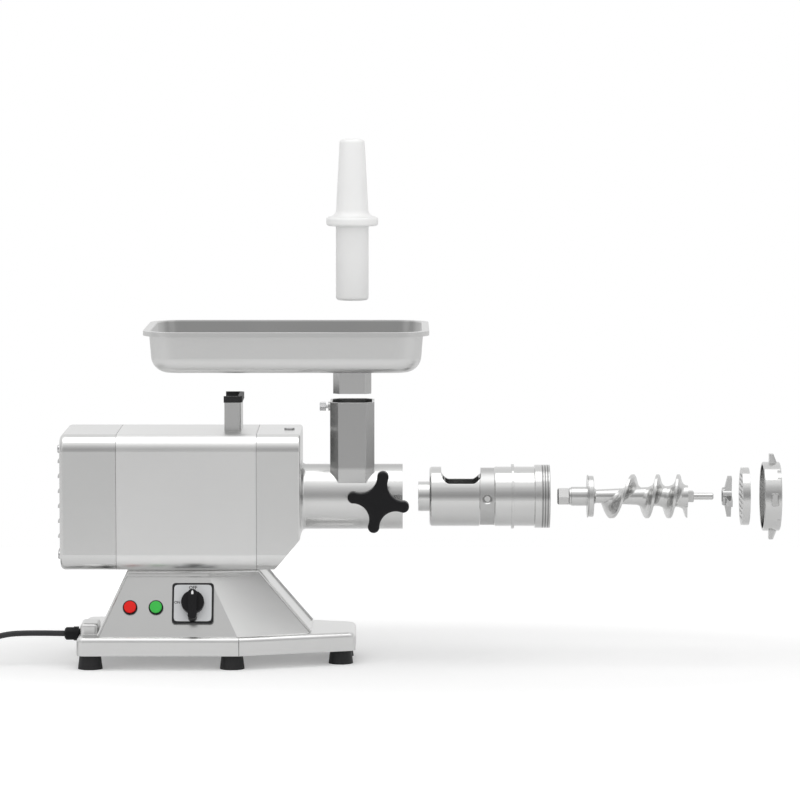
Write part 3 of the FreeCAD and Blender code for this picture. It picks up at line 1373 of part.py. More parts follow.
print("cord length", round(free_length + coil_length))

# Tie round the coil's far side
coil_middle = entry + V(0, coil_outer_radius, 0)
tie_inner_x = coil_middle.x - climb_radius + cord_radius + 2 * free_gap
tie_outer_x = coil_middle.x - coil_outer_radius - cord_radius - 2 * free_gap
tie_low = coil_z - cord_radius - free_gap
tie_high = coil_z + coil_pitch + cord_radius + free_gap
tie_y = coil_middle.y
tie = box(tie_outer_x - tie_thickness, tie_inner_x + tie_thickness, tie_y - tie_width / 2,
          tie_y + tie_width / 2, tie_low - tie_thickness, tie_high + tie_thickness)
tie = tie.cut(box(tie_outer_x, tie_inner_x, tie_y - tie_width, tie_y + tie_width, tie_low, tie_high))
save("cord_tie", tie)

# Plug: moulded body lying on the floor, tilted until its face's rim touches, with two round pins
plug_outline = [(0, 0), (0, plug_neck_radius), (-plug_collar_length, plug_neck_radius + plug_collar_flare),
                (-plug_collar_length - plug_shoulder, plug_face_radius - plug_rim),
                (-plug_length + plug_rim, plug_face_radius), (-plug_length, plug_face_radius),
                (-plug_length, 0)]
plug_x = tail_end.x - cord_radius * math.sin(math.radians(plug_tilt)) - running_fit
plug = turned_x([(plug_x + x, radius) for x, radius in plug_outline], tail_end.y, tail_end.z)
pins = []
for side in (-1, 1):
    pin_root_x = plug_x - plug_length
    pins.append(rod_x(plug_pin_radius, pin_root_x - plug_pin_length, pin_root_x,
                      tail_end.y + side * plug_pin_spread, tail_end.z))
plug.rotate(tail_end, V(0, 1, 0), plug_tilt)
for pin in pins:
    pin.rotate(tail_end, V(0, 1, 0), plug_tilt)
save("plug_body", plug)
save("plug_pins", Part.makeCompound(pins))
print("plug lowest point", round(plug.BoundBox.ZMin, 2))
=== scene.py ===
import math

import bpy
from mathutils import Matrix, Vector


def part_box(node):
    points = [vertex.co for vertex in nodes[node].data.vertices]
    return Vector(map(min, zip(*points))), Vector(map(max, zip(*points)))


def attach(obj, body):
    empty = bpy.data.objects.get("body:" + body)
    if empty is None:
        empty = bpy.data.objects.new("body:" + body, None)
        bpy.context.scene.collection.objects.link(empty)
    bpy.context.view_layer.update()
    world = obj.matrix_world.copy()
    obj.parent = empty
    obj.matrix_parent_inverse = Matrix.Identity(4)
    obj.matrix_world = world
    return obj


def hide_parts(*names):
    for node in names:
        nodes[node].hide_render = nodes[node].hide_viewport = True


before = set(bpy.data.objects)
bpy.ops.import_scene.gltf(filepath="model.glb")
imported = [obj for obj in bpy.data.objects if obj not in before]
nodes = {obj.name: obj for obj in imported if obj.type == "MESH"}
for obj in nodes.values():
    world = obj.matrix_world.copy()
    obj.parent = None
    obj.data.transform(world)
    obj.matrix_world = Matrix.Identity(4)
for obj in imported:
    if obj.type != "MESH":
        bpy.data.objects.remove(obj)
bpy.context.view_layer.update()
scene = bpy.context.scene

# Places taken from the frame. All lengths are in metres.
HOUSING_LOW, HOUSING_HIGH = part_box("motor_cover")
BARREL_LOW, BARREL_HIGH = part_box("barrel")
TRAY_LOW, TRAY_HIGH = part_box("feed_tray")
PUSHER_LOW, PUSHER_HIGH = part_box("pusher")
SWITCH_LOW, SWITCH_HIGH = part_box("switch_plate")
WORM_REAR_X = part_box("feed_screw")[0].x
GEAR_FACE_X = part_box("gear_case")[1].x
GLAND_MOUTH = Vector((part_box("cable_gland")[0].x, -0.044, 0.038))
AXIS_Z = (HOUSING_LOW.z + HOUSING_HIGH.z) / 2

# Camera, fitted to the photograph
CAMERA_X = GEAR_FACE_X + 0.1198
CAMERA_BACK = 5.0
CAMERA_HEIGHT = 0.755
CAMERA_PITCH = math.radians(5.0)
CAMERA_REACH = 50.0
LENS_MM = 186.0
SENSOR_MM = 36.0


def make_camera():
    data = bpy.data.cameras.new("camera")
    data.lens = LENS_MM
    data.sensor_width = SENSOR_MM
    data.clip_end = CAMERA_REACH
    camera = bpy.data.objects.new("camera", data)
    camera.location = (CAMERA_X, -CAMERA_BACK, CAMERA_HEIGHT)
    camera.rotation_euler = (math.pi / 2 - CAMERA_PITCH, 0, 0)
    scene.collection.objects.link(camera)
    scene.camera = camera


# Node trees
def add_node(tree, kind, **settings):
    node = tree.nodes.new("ShaderNode" + kind)
    for name, value in settings.items():
        setattr(node, name, value)
    return node


def feed(tree, socket, value):
    """Links an output to a socket, or sets the socket to a plain value."""
    if isinstance(value, bpy.types.NodeSocket):
        tree.links.new(value, socket)
    else:
        socket.default_value = value


def math_node(tree, operation, *values):
    node = add_node(tree, "Math", operation=operation)
    for socket, value in zip(node.inputs, values):
        feed(tree, socket, value)
    return node.outputs[0]


def vector_node(tree, operation, *values):
    node = add_node(tree, "VectorMath", operation=operation)
    for socket, value in zip(node.inputs, values):
        feed(tree, socket, value)
    return node.outputs


def split(tree, vector):
    node = add_node(tree, "SeparateXYZ")
    tree.links.new(vector, node.inputs[0])
    return node.outputs["X"], node.outputs["Y"], node.outputs["Z"]


def stretched(tree, source, scale):
    mapping = add_node(tree, "Mapping")
    mapping.inputs["Scale"].default_value = scale
    tree.links.new(source, mapping.inputs["Vector"])
    return mapping.outputs[0]


def spread(tree, value, low, high, start=0.25, end=0.75):
    """Takes the range from start to end, where most noise lies, to the range from low to high."""
    remap = add_node(tree, "MapRange")
    for name, number in [("From Min", start), ("From Max", end), ("To Min", low), ("To Max", high)]:
        remap.inputs[name].default_value = number
    tree.links.new(value, remap.inputs["Value"])
    return remap.outputs[0]


def mix_color(tree, share, first, second):
    """A colour between two others, each an RGB triple or the output of a node."""
    mix = add_node(tree, "Mix", data_type="RGBA")
    tree.links.new(share, mix.inputs["Factor"])
    for name, color in [("A", first), ("B", second)]:
        feed(tree, mix.inputs[name], (*color, 1) if isinstance(color, tuple) else color)
    return mix.outputs["Result"]


def new_material(name):
    material = bpy.data.materials.new(name)
    material.use_nodes = True
    tree = material.node_tree
    tree.nodes.clear()
    return material, tree


def ray_kinds(tree):
    """Two values: 1 for camera rays alone, and 1 for camera, mirror and glass rays."""
    path = add_node(tree, "LightPath").outputs
    shown = math_node(tree, "MAXIMUM", path["Is Camera Ray"], path["Is Glossy Ray"])
    shown = math_node(tree, "MAXIMUM", shown, path["Is Transmission Ray"])
    return path["Is Camera Ray"], shown


# Light that falls on the object, from the front and from behind
FRONT_LIGHT = 1.08
BACK_LIGHT = 0.38
LIGHT_DEPTHS = (-1.0, 0.6)
# Surround that metal and glass show: its tone in front of the object, by the height of the
# direction from -1 to 1, and the tone of the backdrop behind the object
MIRROR_STRENGTH = 1.4
FRONT_TONES = [(-1.0, 0.48), (-0.45, 0.50), (-0.25, 0.57), (-0.12, 0.54), (0.02, 0.37),
               (0.14, 0.29), (0.30, 0.34), (0.55, 0.50), (0.80, 0.78), (1.0, 0.94)]
BACKDROP_TONE = 0.68
BACKDROP_DEPTHS = (-0.10, 0.40)
BACKDROP_HEIGHTS = (-0.12, 0.02)
WHITE = (1, 1, 1, 1)


def front_tone(tree, height):
    ramp = add_node(tree, "ValToRGB")
    ramp.color_ramp.interpolation = "EASE"
    elements = ramp.color_ramp.elements
    while len(elements) < len(FRONT_TONES):
        elements.new(0.5)
    for element, (at, tone) in zip(elements, FRONT_TONES):
        element.position = (at + 1) / 2
        element.color = (tone, tone, tone, 1)
    tree.links.new(spread(tree, height, 0.0, 1.0, -1.0, 1.0), ramp.inputs[0])
    return ramp.outputs[0]


def background(tree, color, strength):
    node = add_node(tree, "Background")
    feed(tree, node.inputs["Color"], color)
    feed(tree, node.inputs["Strength"], strength)
    return node.outputs[0]


def mix_shader(tree, share, first, second):
    node = add_node(tree, "MixShader")
    for socket, value in zip(node.inputs, (share, first, second)):
        tree.links.new(value, socket)
    return node.outputs[0]


def make_world():
    """White for the camera, graded tones for metal and glass, and soft light on the object."""
    world = bpy.data.worlds.new("studio")
    world.use_nodes = True
    tree = world.node_tree
    tree.nodes.clear()
    camera_ray, shown = ray_kinds(tree)
    _, depth, height = split(tree, add_node(tree, "TexCoord").outputs["Generated"])
    behind = math_node(tree, "MULTIPLY", spread(tree, depth, 0.0, 1.0, *BACKDROP_DEPTHS),
                       spread(tree, height, 0.0, 1.0, *BACKDROP_HEIGHTS))
    tone = mix_color(tree, behind, front_tone(tree, height), (BACKDROP_TONE,) * 3)
    mirror = background(tree, tone, MIRROR_STRENGTH)
    light = background(tree, WHITE, spread(tree, depth, FRONT_LIGHT, BACK_LIGHT, *LIGHT_DEPTHS))
    white = background(tree, WHITE, 1.0)
    surround = mix_shader(tree, camera_ray, mix_shader(tree, shown, light, mirror), white)
    tree.links.new(surround, add_node(tree, "OutputWorld").inputs["Surface"])
    scene.world = world


# Floor, and its glow near the object and far from it
FLOOR_HALF_LENGTH = 3.0
FLOOR_DEPTH = 1.1
FLOOR_COLOR = (0.88, 0.88, 0.88, 1)
FLOOR_GLOW = 0.22
FLOOR_FADE = 0.45
FADE_STRETCH = (1.0, 2.2, 1.0)
FADE_DISTANCES = (0.55, 1.1)
# Share of the floor's glow that metal and glass show
MIRROR_GLOW = 0.4


def make_floor():
    """A pale floor that keeps the object's shadow and fades to white away from it."""
    material, tree = new_material("pale_floor")
    camera_ray, shown = ray_kinds(tree)
    surface = add_node(tree, "BsdfDiffuse")
    surface.inputs["Color"].default_value = FLOOR_COLOR
    away = vector_node(tree, "LENGTH", stretched(tree, own_place(tree), FADE_STRETCH))["Value"]
    fade = spread(tree, away, FLOOR_GLOW, FLOOR_FADE, *FADE_DISTANCES)
    share = math_node(tree, "MAXIMUM", camera_ray, math_node(tree, "MULTIPLY", shown, MIRROR_GLOW))
    glow = add_node(tree, "Emission")
    tree.links.new(math_node(tree, "MULTIPLY", share, fade), glow.inputs["Strength"])
    both = add_node(tree, "AddShader")
    tree.links.new(surface.outputs[0], both.inputs[0])
    tree.links.new(glow.outputs[0], both.inputs[1])
    tree.links.new(both.outputs[0], add_node(tree, "OutputMaterial").inputs["Surface"])
    mesh = bpy.data.meshes.new("floor")
    corners = [(-FLOOR_HALF_LENGTH, -FLOOR_DEPTH, 0), (FLOOR_HALF_LENGTH, -FLOOR_DEPTH, 0),
               (FLOOR_HALF_LENGTH, FLOOR_DEPTH, 0), (-FLOOR_HALF_LENGTH, FLOOR_DEPTH, 0)]
    mesh.from_pydata(corners, [], [(0, 1, 2, 3)])
    floor = bpy.data.objects.new("floor", mesh)
    floor.data.materials.append(material)
    scene.collection.objects.link(floor)


# Lamps: name, place, the point that each faces, width and height, and power in watts
LAMPS = [
    ("top_box", (0.0, -0.2, 2.4), (0, 0, 0.2), (3.4, 1.8), 17),
    ("left_box", (-2.4, -1.6, 1.3), (-0.2, 0, 0.2), (1.4, 2.0), 3),
    ("right_box", (2.4, -1.4, 1.3), (0.1, 0, 0.2), (1.4, 2.0), 3),
]


def make_lamps():
    for name, place, aim, size, power in LAMPS:
        data = bpy.data.lights.new(name, "AREA")
        data.shape = "RECTANGLE"
        data.size, data.size_y = size
        data.energy = power
        lamp = bpy.data.objects.new(name, data)
        lamp.location = place
        lamp.rotation_euler = (Vector(aim) - Vector(place)).to_track_quat("-Z", "Y").to_euler()
        scene.collection.objects.link(lamp)


# Procedural materials. Every pattern is laid out in the part's own coordinates: its scale is per
# metre, and the depth of its relief is in metres.
BEVEL_SAMPLES = 6
# Directions of brush marks: level, upright, and along the worm axis
LEVEL_MARKS = (0.012, 0.2, 1.0)
UPRIGHT_MARKS = (1.0, 1.0, 0.012)
AXIAL_MARKS = (0.012, 1.0, 1.0)
# Changes of tone and gloss over a metal, and how far its clouds and its marks make them
METAL_CONTRAST = 0.03
METAL_SHEEN = 0.05
SHEET_SHEEN = (-0.04, 0.06)
CLOUD_SHARE = 0.8
MARK_SHARE = 0.2
MARKED_RANGE = (0.2, 0.8)


def own_place(tree):
    return add_node(tree, "TexCoord").outputs["Object"]


def principled(name, color, roughness, metallic=0.0):
    material, tree = new_material(name)
    shader = add_node(tree, "BsdfPrincipled")
    shader.inputs["Base Color"].default_value = (*color, 1)
    shader.inputs["Roughness"].default_value = roughness
    shader.inputs["Metallic"].default_value = metallic
    tree.links.new(shader.outputs[0], add_node(tree, "OutputMaterial").inputs["Surface"])
    return material, tree, shader


def noise(tree, source, scale, detail, stretch=(1, 1, 1)):
    texture = add_node(tree, "TexNoise")
    texture.inputs["Scale"].default_value = scale
    texture.inputs["Detail"].default_value = detail
    tree.links.new(stretched(tree, source, stretch), texture.inputs["Vector"])
    return texture.outputs["Fac"]


def bump(tree, shader, height, depth, soft_edge=0.0):
    """Relief of the given depth, with the shape's edges eased by soft_edge."""
    node = add_node(tree, "Bump")
    node.inputs["Strength"].default_value = 1.0
    node.inputs["Distance"].default_value = depth
    tree.links.new(height, node.inputs["Height"])
    if soft_edge:
        edge = add_node(tree, "Bevel", samples=BEVEL_SAMPLES)
        edge.inputs["Radius"].default_value = soft_edge
        tree.links.new(edge.outputs[0], node.inputs["Normal"])
    tree.links.new(node.outputs[0], shader.inputs["Normal"])


def shade(color, factor):
    return tuple(min(1.0, channel * factor) for channel in color)


def cloudy(tree, color, value, contrast):
    """The colour made a little darker and lighter as value goes from 0 to 1."""
    return mix_color(tree, value, shade(color, 1 - contrast), shade(color, 1 + contrast))


def marked(tree, shader, color, roughness, marks, clouds, depth, soft_edge):
    """Ties tone, gloss and relief of a metal to its fine marks and its slow clouds."""
    both = math_node(tree, "ADD", math_node(tree, "MULTIPLY", clouds, CLOUD_SHARE),
                     math_node(tree, "MULTIPLY", marks, MARK_SHARE))
    gloss = spread(tree, both, roughness - METAL_SHEEN, roughness + METAL_SHEEN, *MARKED_RANGE)
    tree.links.new(gloss, shader.inputs["Roughness"])
    tint = cloudy(tree, color, spread(tree, both, 0.0, 1.0, *MARKED_RANGE), METAL_CONTRAST)
    tree.links.new(tint, shader.inputs["Base Color"])
    bump(tree, shader, marks, depth, soft_edge)


def brushed_steel(name, color, roughness, stretch=LEVEL_MARKS, soft_edge=0.0008):
    """Sheet steel with fine brush marks in one direction and slow cloudy changes of gloss."""
    material, tree, shader = principled(name, color, roughness, metallic=1.0)
    place = own_place(tree)
    marks = noise(tree, place, scale=700.0, detail=2.0, stretch=stretch)
    clouds = noise(tree, place, scale=9.0, detail=3.0)
    marked(tree, shader, color, roughness, marks, clouds, depth=0.0000006, soft_edge=soft_edge)
    return material


# Inside of the tray, painted darker as painted shade: what faces its middle or faces up, below its
# rim
FACING_IN = -0.004
FACING_UP = 0.5
RIM_DEPTH = 0.0015
TRAY_CLOUDS = (0.15, 0.85)
TRAY_MIDDLE = ((TRAY_LOW.x + TRAY_HIGH.x) / 2, (TRAY_LOW.y + TRAY_HIGH.y) / 2, 0)


def basin_steel(name, color, inner_shade_color, roughness):
    """Drawn sheet steel, painted darker inside the basin than outside it as painted shade."""
    material, tree, shader = principled(name, color, roughness, metallic=1.0)
    place = own_place(tree)
    facing = add_node(tree, "NewGeometry").outputs["Normal"]
    centred = vector_node(tree, "SUBTRACT", place, TRAY_MIDDLE)["Vector"]
    flat = vector_node(tree, "MULTIPLY", centred, (1, 1, 0))["Vector"]
    outward = vector_node(tree, "DOT_PRODUCT", flat, facing)["Value"]
    inner_wall = math_node(tree, "LESS_THAN", outward, FACING_IN)
    inner_floor = math_node(tree, "GREATER_THAN", split(tree, facing)[2], FACING_UP)
    below_rim = math_node(tree, "LESS_THAN", split(tree, place)[2], TRAY_HIGH.z - RIM_DEPTH)
    facing_in = math_node(tree, "MAXIMUM", inner_wall, inner_floor)
    inside = math_node(tree, "MULTIPLY", facing_in, below_rim)
    marks = noise(tree, place, scale=500.0, detail=2.0, stretch=LEVEL_MARKS)
    clouds = noise(tree, place, scale=12.0, detail=3.0)
    gloss = spread(tree, clouds, roughness + SHEET_SHEEN[0], roughness + SHEET_SHEEN[1],
                   *TRAY_CLOUDS)
    tree.links.new(gloss, shader.inputs["Roughness"])
    # Painted shade: the inside of the basin is coloured darker than the outside.
    tree.links.new(mix_color(tree, inside, color, inner_shade_color), shader.inputs["Base Color"])
    bump(tree, shader, marks, depth=0.0000005)
    return material


def lathe_place(tree):
    """The place, its distances along the worm axis and out from it, and both as one vector."""
    place = own_place(tree)
    centred = vector_node(tree, "SUBTRACT", place, (0, 0, AXIS_Z))["Vector"]
    along, across, up = split(tree, centred)
    out_squared = math_node(tree, "ADD", math_node(tree, "MULTIPLY", across, across),
                            math_node(tree, "MULTIPLY", up, up))
    out = math_node(tree, "SQRT", out_squared)
    polar = add_node(tree, "CombineXYZ")
    tree.links.new(along, polar.inputs["X"])
    tree.links.new(out, polar.inputs["Y"])
    return place, along, out, polar.outputs[0]


def turned_steel(name, color, roughness, rings=1600.0):
    """Steel turned on a lathe: fine rings round the worm axis."""
    material, tree, shader = principled(name, color, roughness, metallic=1.0)
    place, _, _, polar = lathe_place(tree)
    marks = noise(tree, polar, scale=rings, detail=4.0)
    clouds = noise(tree, place, scale=22.0, detail=3.0)
    marked(tree, shader, color, roughness, marks, clouds, depth=0.000004, soft_edge=0.0006)
    return material


# Barrel: its thread, the groove for the clamp screw, and its bore
THREAD_PLACES = (BARREL_HIGH.x - 0.0105, BARREL_HIGH.x)
THREAD_INNER_RADIUS = 0.0368
THREAD_PITCH = 0.0031
THREAD_RELIEF = 0.25 * THREAD_PITCH
THREAD_WAVE = (-0.6, 0.6)
VALLEY_DEPTHS = (0.9, 0.15)
GROOVE_PLACES = (GEAR_FACE_X + 0.2168, GEAR_FACE_X + 0.2342)
GROOVE_RADII = (0.0356 - 0.0013, 0.0356)
BORE_START = BARREL_LOW.x + 0.0195
BORE_RADIUS = 0.0280
# Tones of the groove, the thread's valleys and the bore: painted shade, darker than the turned
# steel.
GROOVE_SHADE_TONE = 0.80
VALLEY_SHADE_TONE = 0.30
BORE_SHADE_TONE = 0.22
ADDED_ROUGHNESS = 0.22
VALLEY_RELIEF = -0.5
RING_RELIEF = 0.01


def within(tree, value, low, high):
    return math_node(tree, "MULTIPLY", math_node(tree, "GREATER_THAN", value, low),
                     math_node(tree, "LESS_THAN", value, high))


def barrel_look(name, color, roughness):
    """Turned steel with a thread, a matt groove for the clamp screw and a rough bore; thread
    valleys, groove and bore are painted darker as painted shade.
    """
    material, tree, shader = principled(name, color, roughness, metallic=1.0)
    place, along, out, polar = lathe_place(tree)
    rings = noise(tree, polar, scale=1600.0, detail=4.0)
    clouds = noise(tree, place, scale=22.0, detail=3.0)
    bore = math_node(tree, "MULTIPLY", math_node(tree, "LESS_THAN", out, BORE_RADIUS),
                     math_node(tree, "GREATER_THAN", along, BORE_START))
    groove = math_node(tree, "MULTIPLY", within(tree, along, *GROOVE_PLACES),
                       within(tree, out, *GROOVE_RADII))
    thread = math_node(tree, "MULTIPLY", within(tree, along, *THREAD_PLACES),
                       math_node(tree, "GREATER_THAN", out, THREAD_INNER_RADIUS))
    wave = math_node(tree, "SINE", math_node(tree, "MULTIPLY", along, 2 * math.pi / THREAD_PITCH))
    valley = math_node(tree, "MULTIPLY", spread(tree, wave, *VALLEY_DEPTHS, *THREAD_WAVE), thread)
    gloss = spread(tree, clouds, roughness - METAL_SHEEN, roughness + METAL_SHEEN)
    dull = math_node(tree, "MULTIPLY", math_node(tree, "MAXIMUM", bore, groove), ADDED_ROUGHNESS)
    tree.links.new(math_node(tree, "ADD", gloss, dull), shader.inputs["Roughness"])
    tint = cloudy(tree, color, spread(tree, clouds, 0.0, 1.0), METAL_CONTRAST)
    # Painted shade: the groove, the thread's valleys and the bore are coloured darker.
    for mask, tone in [(groove, GROOVE_SHADE_TONE), (valley, VALLEY_SHADE_TONE), (bore, BORE_SHADE_TONE)]:
        tint = mix_color(tree, mask, tint, shade(color, tone))
    tree.links.new(tint, shader.inputs["Base Color"])
    relief = math_node(tree, "ADD", math_node(tree, "MULTIPLY", valley, VALLEY_RELIEF),
                       math_node(tree, "MULTIPLY", rings, RING_RELIEF))
    bump(tree, shader, relief, depth=THREAD_RELIEF, soft_edge=0.0006)
    return material


# Height at which the hub goes over into its neck
NECK_Z = AXIS_Z + 0.037
NECK_BLEND = 0.002


def neck_steel(name, hub_color, neck_shade_color, roughness):
    """Hub brushed along the worm axis, under a neck of sheet brushed upright and painted darker as
    painted shade.
    """
    material, tree, shader = principled(name, hub_color, roughness, metallic=1.0)
    place = own_place(tree)
    height = split(tree, place)[2]
    on_neck = spread(tree, height, 0.0, 1.0, NECK_Z - NECK_BLEND, NECK_Z + NECK_BLEND)
    on_hub = math_node(tree, "SUBTRACT", 1.0, on_neck)
    upright = noise(tree, place, scale=700.0, detail=5.0, stretch=UPRIGHT_MARKS)
    axial = noise(tree, place, scale=700.0, detail=5.0, stretch=AXIAL_MARKS)
    marks = math_node(tree, "ADD", math_node(tree, "MULTIPLY", upright, on_neck),
                      math_node(tree, "MULTIPLY", axial, on_hub))
    clouds = noise(tree, place, scale=14.0, detail=3.0)
    gloss = spread(tree, clouds, roughness + SHEET_SHEEN[0], roughness + SHEET_SHEEN[1])
    tree.links.new(gloss, shader.inputs["Roughness"])
    # Painted shade: the neck is coloured darker than the hub.
    tree.links.new(mix_color(tree, on_neck, hub_color, neck_shade_color), shader.inputs["Base Color"])
    bump(tree, shader, marks, depth=0.000003, soft_edge=0.0012)
    return material


def cast_metal(name, color, roughness, soft_edge=0.0012):
    """A satin casting: fine grain with cloudy gloss."""
    material, tree, shader = principled(name, color, roughness, metallic=1.0)
    place = own_place(tree)
    grain = noise(tree, place, scale=1400.0, detail=3.0)
    clouds = noise(tree, place, scale=16.0, detail=4.0)
    marked(tree, shader, color, roughness, grain, clouds, depth=0.000005, soft_edge=soft_edge)
    return material


MOULDED_SHEEN = 0.05
COAT_ROUGHNESS = 0.08
SUBSURFACE_RADIUS = (0.01, 0.01, 0.01)
SUBSURFACE_SCALE = 0.6


def moulded(name, color, roughness, soft_edge=0.0006, contrast=0.06, coat=0.0, subsurface=0.0,
            shine=0.5):
    """Moulded rubber or plastic with a fine skin and small changes of gloss and tone."""
    material, tree, shader = principled(name, color, roughness)
    place = own_place(tree)
    grain = noise(tree, place, scale=1800.0, detail=3.0)
    clouds = noise(tree, place, scale=40.0, detail=3.0)
    gloss = spread(tree, clouds, roughness - MOULDED_SHEEN, roughness + MOULDED_SHEEN)
    tree.links.new(gloss, shader.inputs["Roughness"])
    tint = cloudy(tree, color, spread(tree, clouds, 0.0, 1.0), contrast)
    tree.links.new(tint, shader.inputs["Base Color"])
    shader.inputs["Specular IOR Level"].default_value = shine
    shader.inputs["Coat Weight"].default_value = coat
    shader.inputs["Coat Roughness"].default_value = COAT_ROUGHNESS
    shader.inputs["Subsurface Weight"].default_value = subsurface
    shader.inputs["Subsurface Radius"].default_value = SUBSURFACE_RADIUS
    shader.inputs["Subsurface Scale"].default_value = SUBSURFACE_SCALE
    bump(tree, shader, grain, depth=0.00001, soft_edge=soft_edge)
    return material


# One steel, made lighter or darker part by part below to match how bright each part looks: painted
# light and shade.
STEEL = (0.72, 0.72, 0.715)
looks = {
    "motor_steel": brushed_steel("motor_steel", shade(STEEL, 1.06), 0.33, soft_edge=0.0),
    "rear_steel": brushed_steel("rear_steel", shade(STEEL, 0.92), 0.22, soft_edge=0.0),
    "gear_steel": brushed_steel("gear_steel", shade(STEEL, 0.97), 0.22, soft_edge=0.0),
    # Pedestal: steel made darker as painted shade under the housing.
    "pedestal_shaded_steel": brushed_steel("pedestal_shaded_steel", shade(STEEL, 0.86), 0.22, soft_edge=0.0),
    "edge_steel": brushed_steel("edge_steel", shade(STEEL, 0.95), 0.22),
    # Dark steel for the lines at the base's folds: painted shade in the creases.
    "crease_shade_steel": brushed_steel("crease_shade_steel", shade(STEEL, 0.45), 0.22, UPRIGHT_MARKS),
    "bracket_steel": brushed_steel("bracket_steel", shade(STEEL, 0.72), 0.22, UPRIGHT_MARKS),
    "base_steel": cast_metal("base_steel", shade(STEEL, 1.02), 0.33),
    # The tray's darker inner tone is painted shade.
    "tray_steel": basin_steel("tray_steel", shade(STEEL, 0.91), shade(STEEL, 0.62), 0.32),
    "spout_steel": brushed_steel("spout_steel", shade(STEEL, 0.74), 0.22, UPRIGHT_MARKS),
    # The neck's darker tone is painted shade.
    "hub_steel": neck_steel("hub_steel", shade(STEEL, 0.92), shade(STEEL, 0.62), 0.20),
    "cast_metal": cast_metal("cast_metal", STEEL, 0.34),
    "barrel_steel": barrel_look("barrel_steel", shade(STEEL, 0.88), 0.15),
    "turned_steel": turned_steel("turned_steel", shade(STEEL, 0.84), 0.17),
    "polished_steel": turned_steel("polished_steel", shade(STEEL, 0.68), 0.13, rings=900.0),
    "worm_steel": cast_metal("worm_steel", shade(STEEL, 0.84), 0.22, soft_edge=0.0),
    "inner_steel": cast_metal("inner_steel", (0.56, 0.56, 0.565), 0.22, soft_edge=0.0004),
    "bearing_steel": turned_steel("bearing_steel", (0.70, 0.70, 0.71), 0.15),
    "lamination": turned_steel("lamination", (0.30, 0.30, 0.31), 0.45),
    "copper": moulded("copper", (0.55, 0.23, 0.09), 0.35),
    "rubber": moulded("rubber", (0.020, 0.020, 0.021), 0.52, shine=0.3),
    "cord_rubber": moulded("cord_rubber", (0.028, 0.028, 0.030), 0.48, shine=0.35),
    "black_plastic": moulded("black_plastic", (0.007, 0.007, 0.008), 0.38, shine=0.2),
    "frame_plastic": moulded("frame_plastic", (0.012, 0.012, 0.013), 0.32, shine=0.3),
    "grey_plastic": moulded("grey_plastic", (0.60, 0.61, 0.62), 0.40, contrast=0.015),
    "switch_grey": moulded("switch_grey", (0.62, 0.63, 0.64), 0.40, soft_edge=0.0, contrast=0.015),
    "white_plastic": moulded("white_plastic", (0.86, 0.86, 0.855), 0.32, contrast=0.01,
                             subsurface=0.15),
    "red_plastic": moulded("red_plastic", (0.74, 0.014, 0.010), 0.25, coat=0.08, shine=0.2),
    "green_plastic": moulded("green_plastic", (0.05, 0.50, 0.075), 0.25, coat=0.08, shine=0.2),
    "print_black": moulded("print_black", (0.02, 0.02, 0.02), 0.5, soft_edge=0.0),
    "print_white": moulded("print_white", (0.80, 0.80, 0.80), 0.5, soft_edge=0.0),
}

# The look of each CAD node that stays in view
node_looks = {
    "cast_metal": ["bearing_plate", "motor_end_shield", "motor_cradle"],
    "base_steel": ["base_casting"],
    "motor_steel": ["motor_cover", "bottom_plate"],
    "bracket_steel": ["tray_support"],
    "rear_steel": ["rear_cover"],
    "gear_steel": ["gear_case"],
    "pedestal_shaded_steel": ["pedestal_shell"],
    "tray_steel": ["feed_tray"],
    "spout_steel": ["tray_spout"],
    "hub_steel": ["hub_sleeve"],
    "barrel_steel": ["barrel"],
    "turned_steel": ["ring_nut", "thrust_washer", "perforated_plate"],
    "polished_steel": ["knife"],
    "inner_steel": ["foot_screws", "oil_plug", "support_screws", "housing_screws", "plate_key",
                    "clamp_stud", "thumb_screw_shank", "thumb_screw_head", "countershaft",
                    "countershaft_gear", "drive_shaft", "output_gear", "rotor_shaft"],
    "bearing_steel": ["drive_bearings", "countershaft_bearings", "motor_bearings", "plug_pins"],
    "lamination": ["stator", "rotor_core"],
    "copper": ["stator_windings"],
    "rubber": ["rubber_feet", "support_trims", "shaft_seal"],
    "black_plastic": ["switch_body", "switch_knob", "button_bezels", "star_knob", "cable_gland",
                      "cord_tie", "plug_body", "cooling_fan"],
    "frame_plastic": ["switch_plate"],
    "grey_plastic": ["capacitor"],
    "red_plastic": ["stop_button"],
    "green_plastic": ["start_button"],
}
# Photographed apart from the machine, so its metal doesn't mirror them
APART = ["feed_tray", "tray_spout"]


def dress_nodes():
    for look, names in node_looks.items():
        for name in names:
            piece = nodes[name]
            piece.data.materials.clear()
            piece.data.materials.append(looks[look])
    for name in APART:
        nodes[name].visible_glossy = False


def add_piece(name, data, look, body, replaced=()):
    piece = bpy.data.objects.new(name, data)
    piece.data.materials.append(looks[look])
    scene.collection.objects.link(piece)
    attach(piece, body)
    if replaced:
        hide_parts(*replaced)
    return piece


def skin(rings, ends=True):
    """Points and faces of a closed form through rings that have the same number of points."""
    count = len(rings[0])
    points = [point for ring in rings for point in ring]
    pairs = list(zip(range(len(rings) - 1), range(1, len(rings))))
    if not ends:
        pairs.append((len(rings) - 1, 0))
    faces = []
    for i, k in pairs:
        for j in range(count):
            after = (j + 1) % count
            faces.append((i * count + j, i * count + after, k * count + after, k * count + j))
    if ends:
        last = (len(rings) - 1) * count
        faces.append(tuple(reversed(range(count))))
        faces.append(tuple(range(last, last + count)))
    return points, faces


SHARP_ANGLE = math.radians(40)


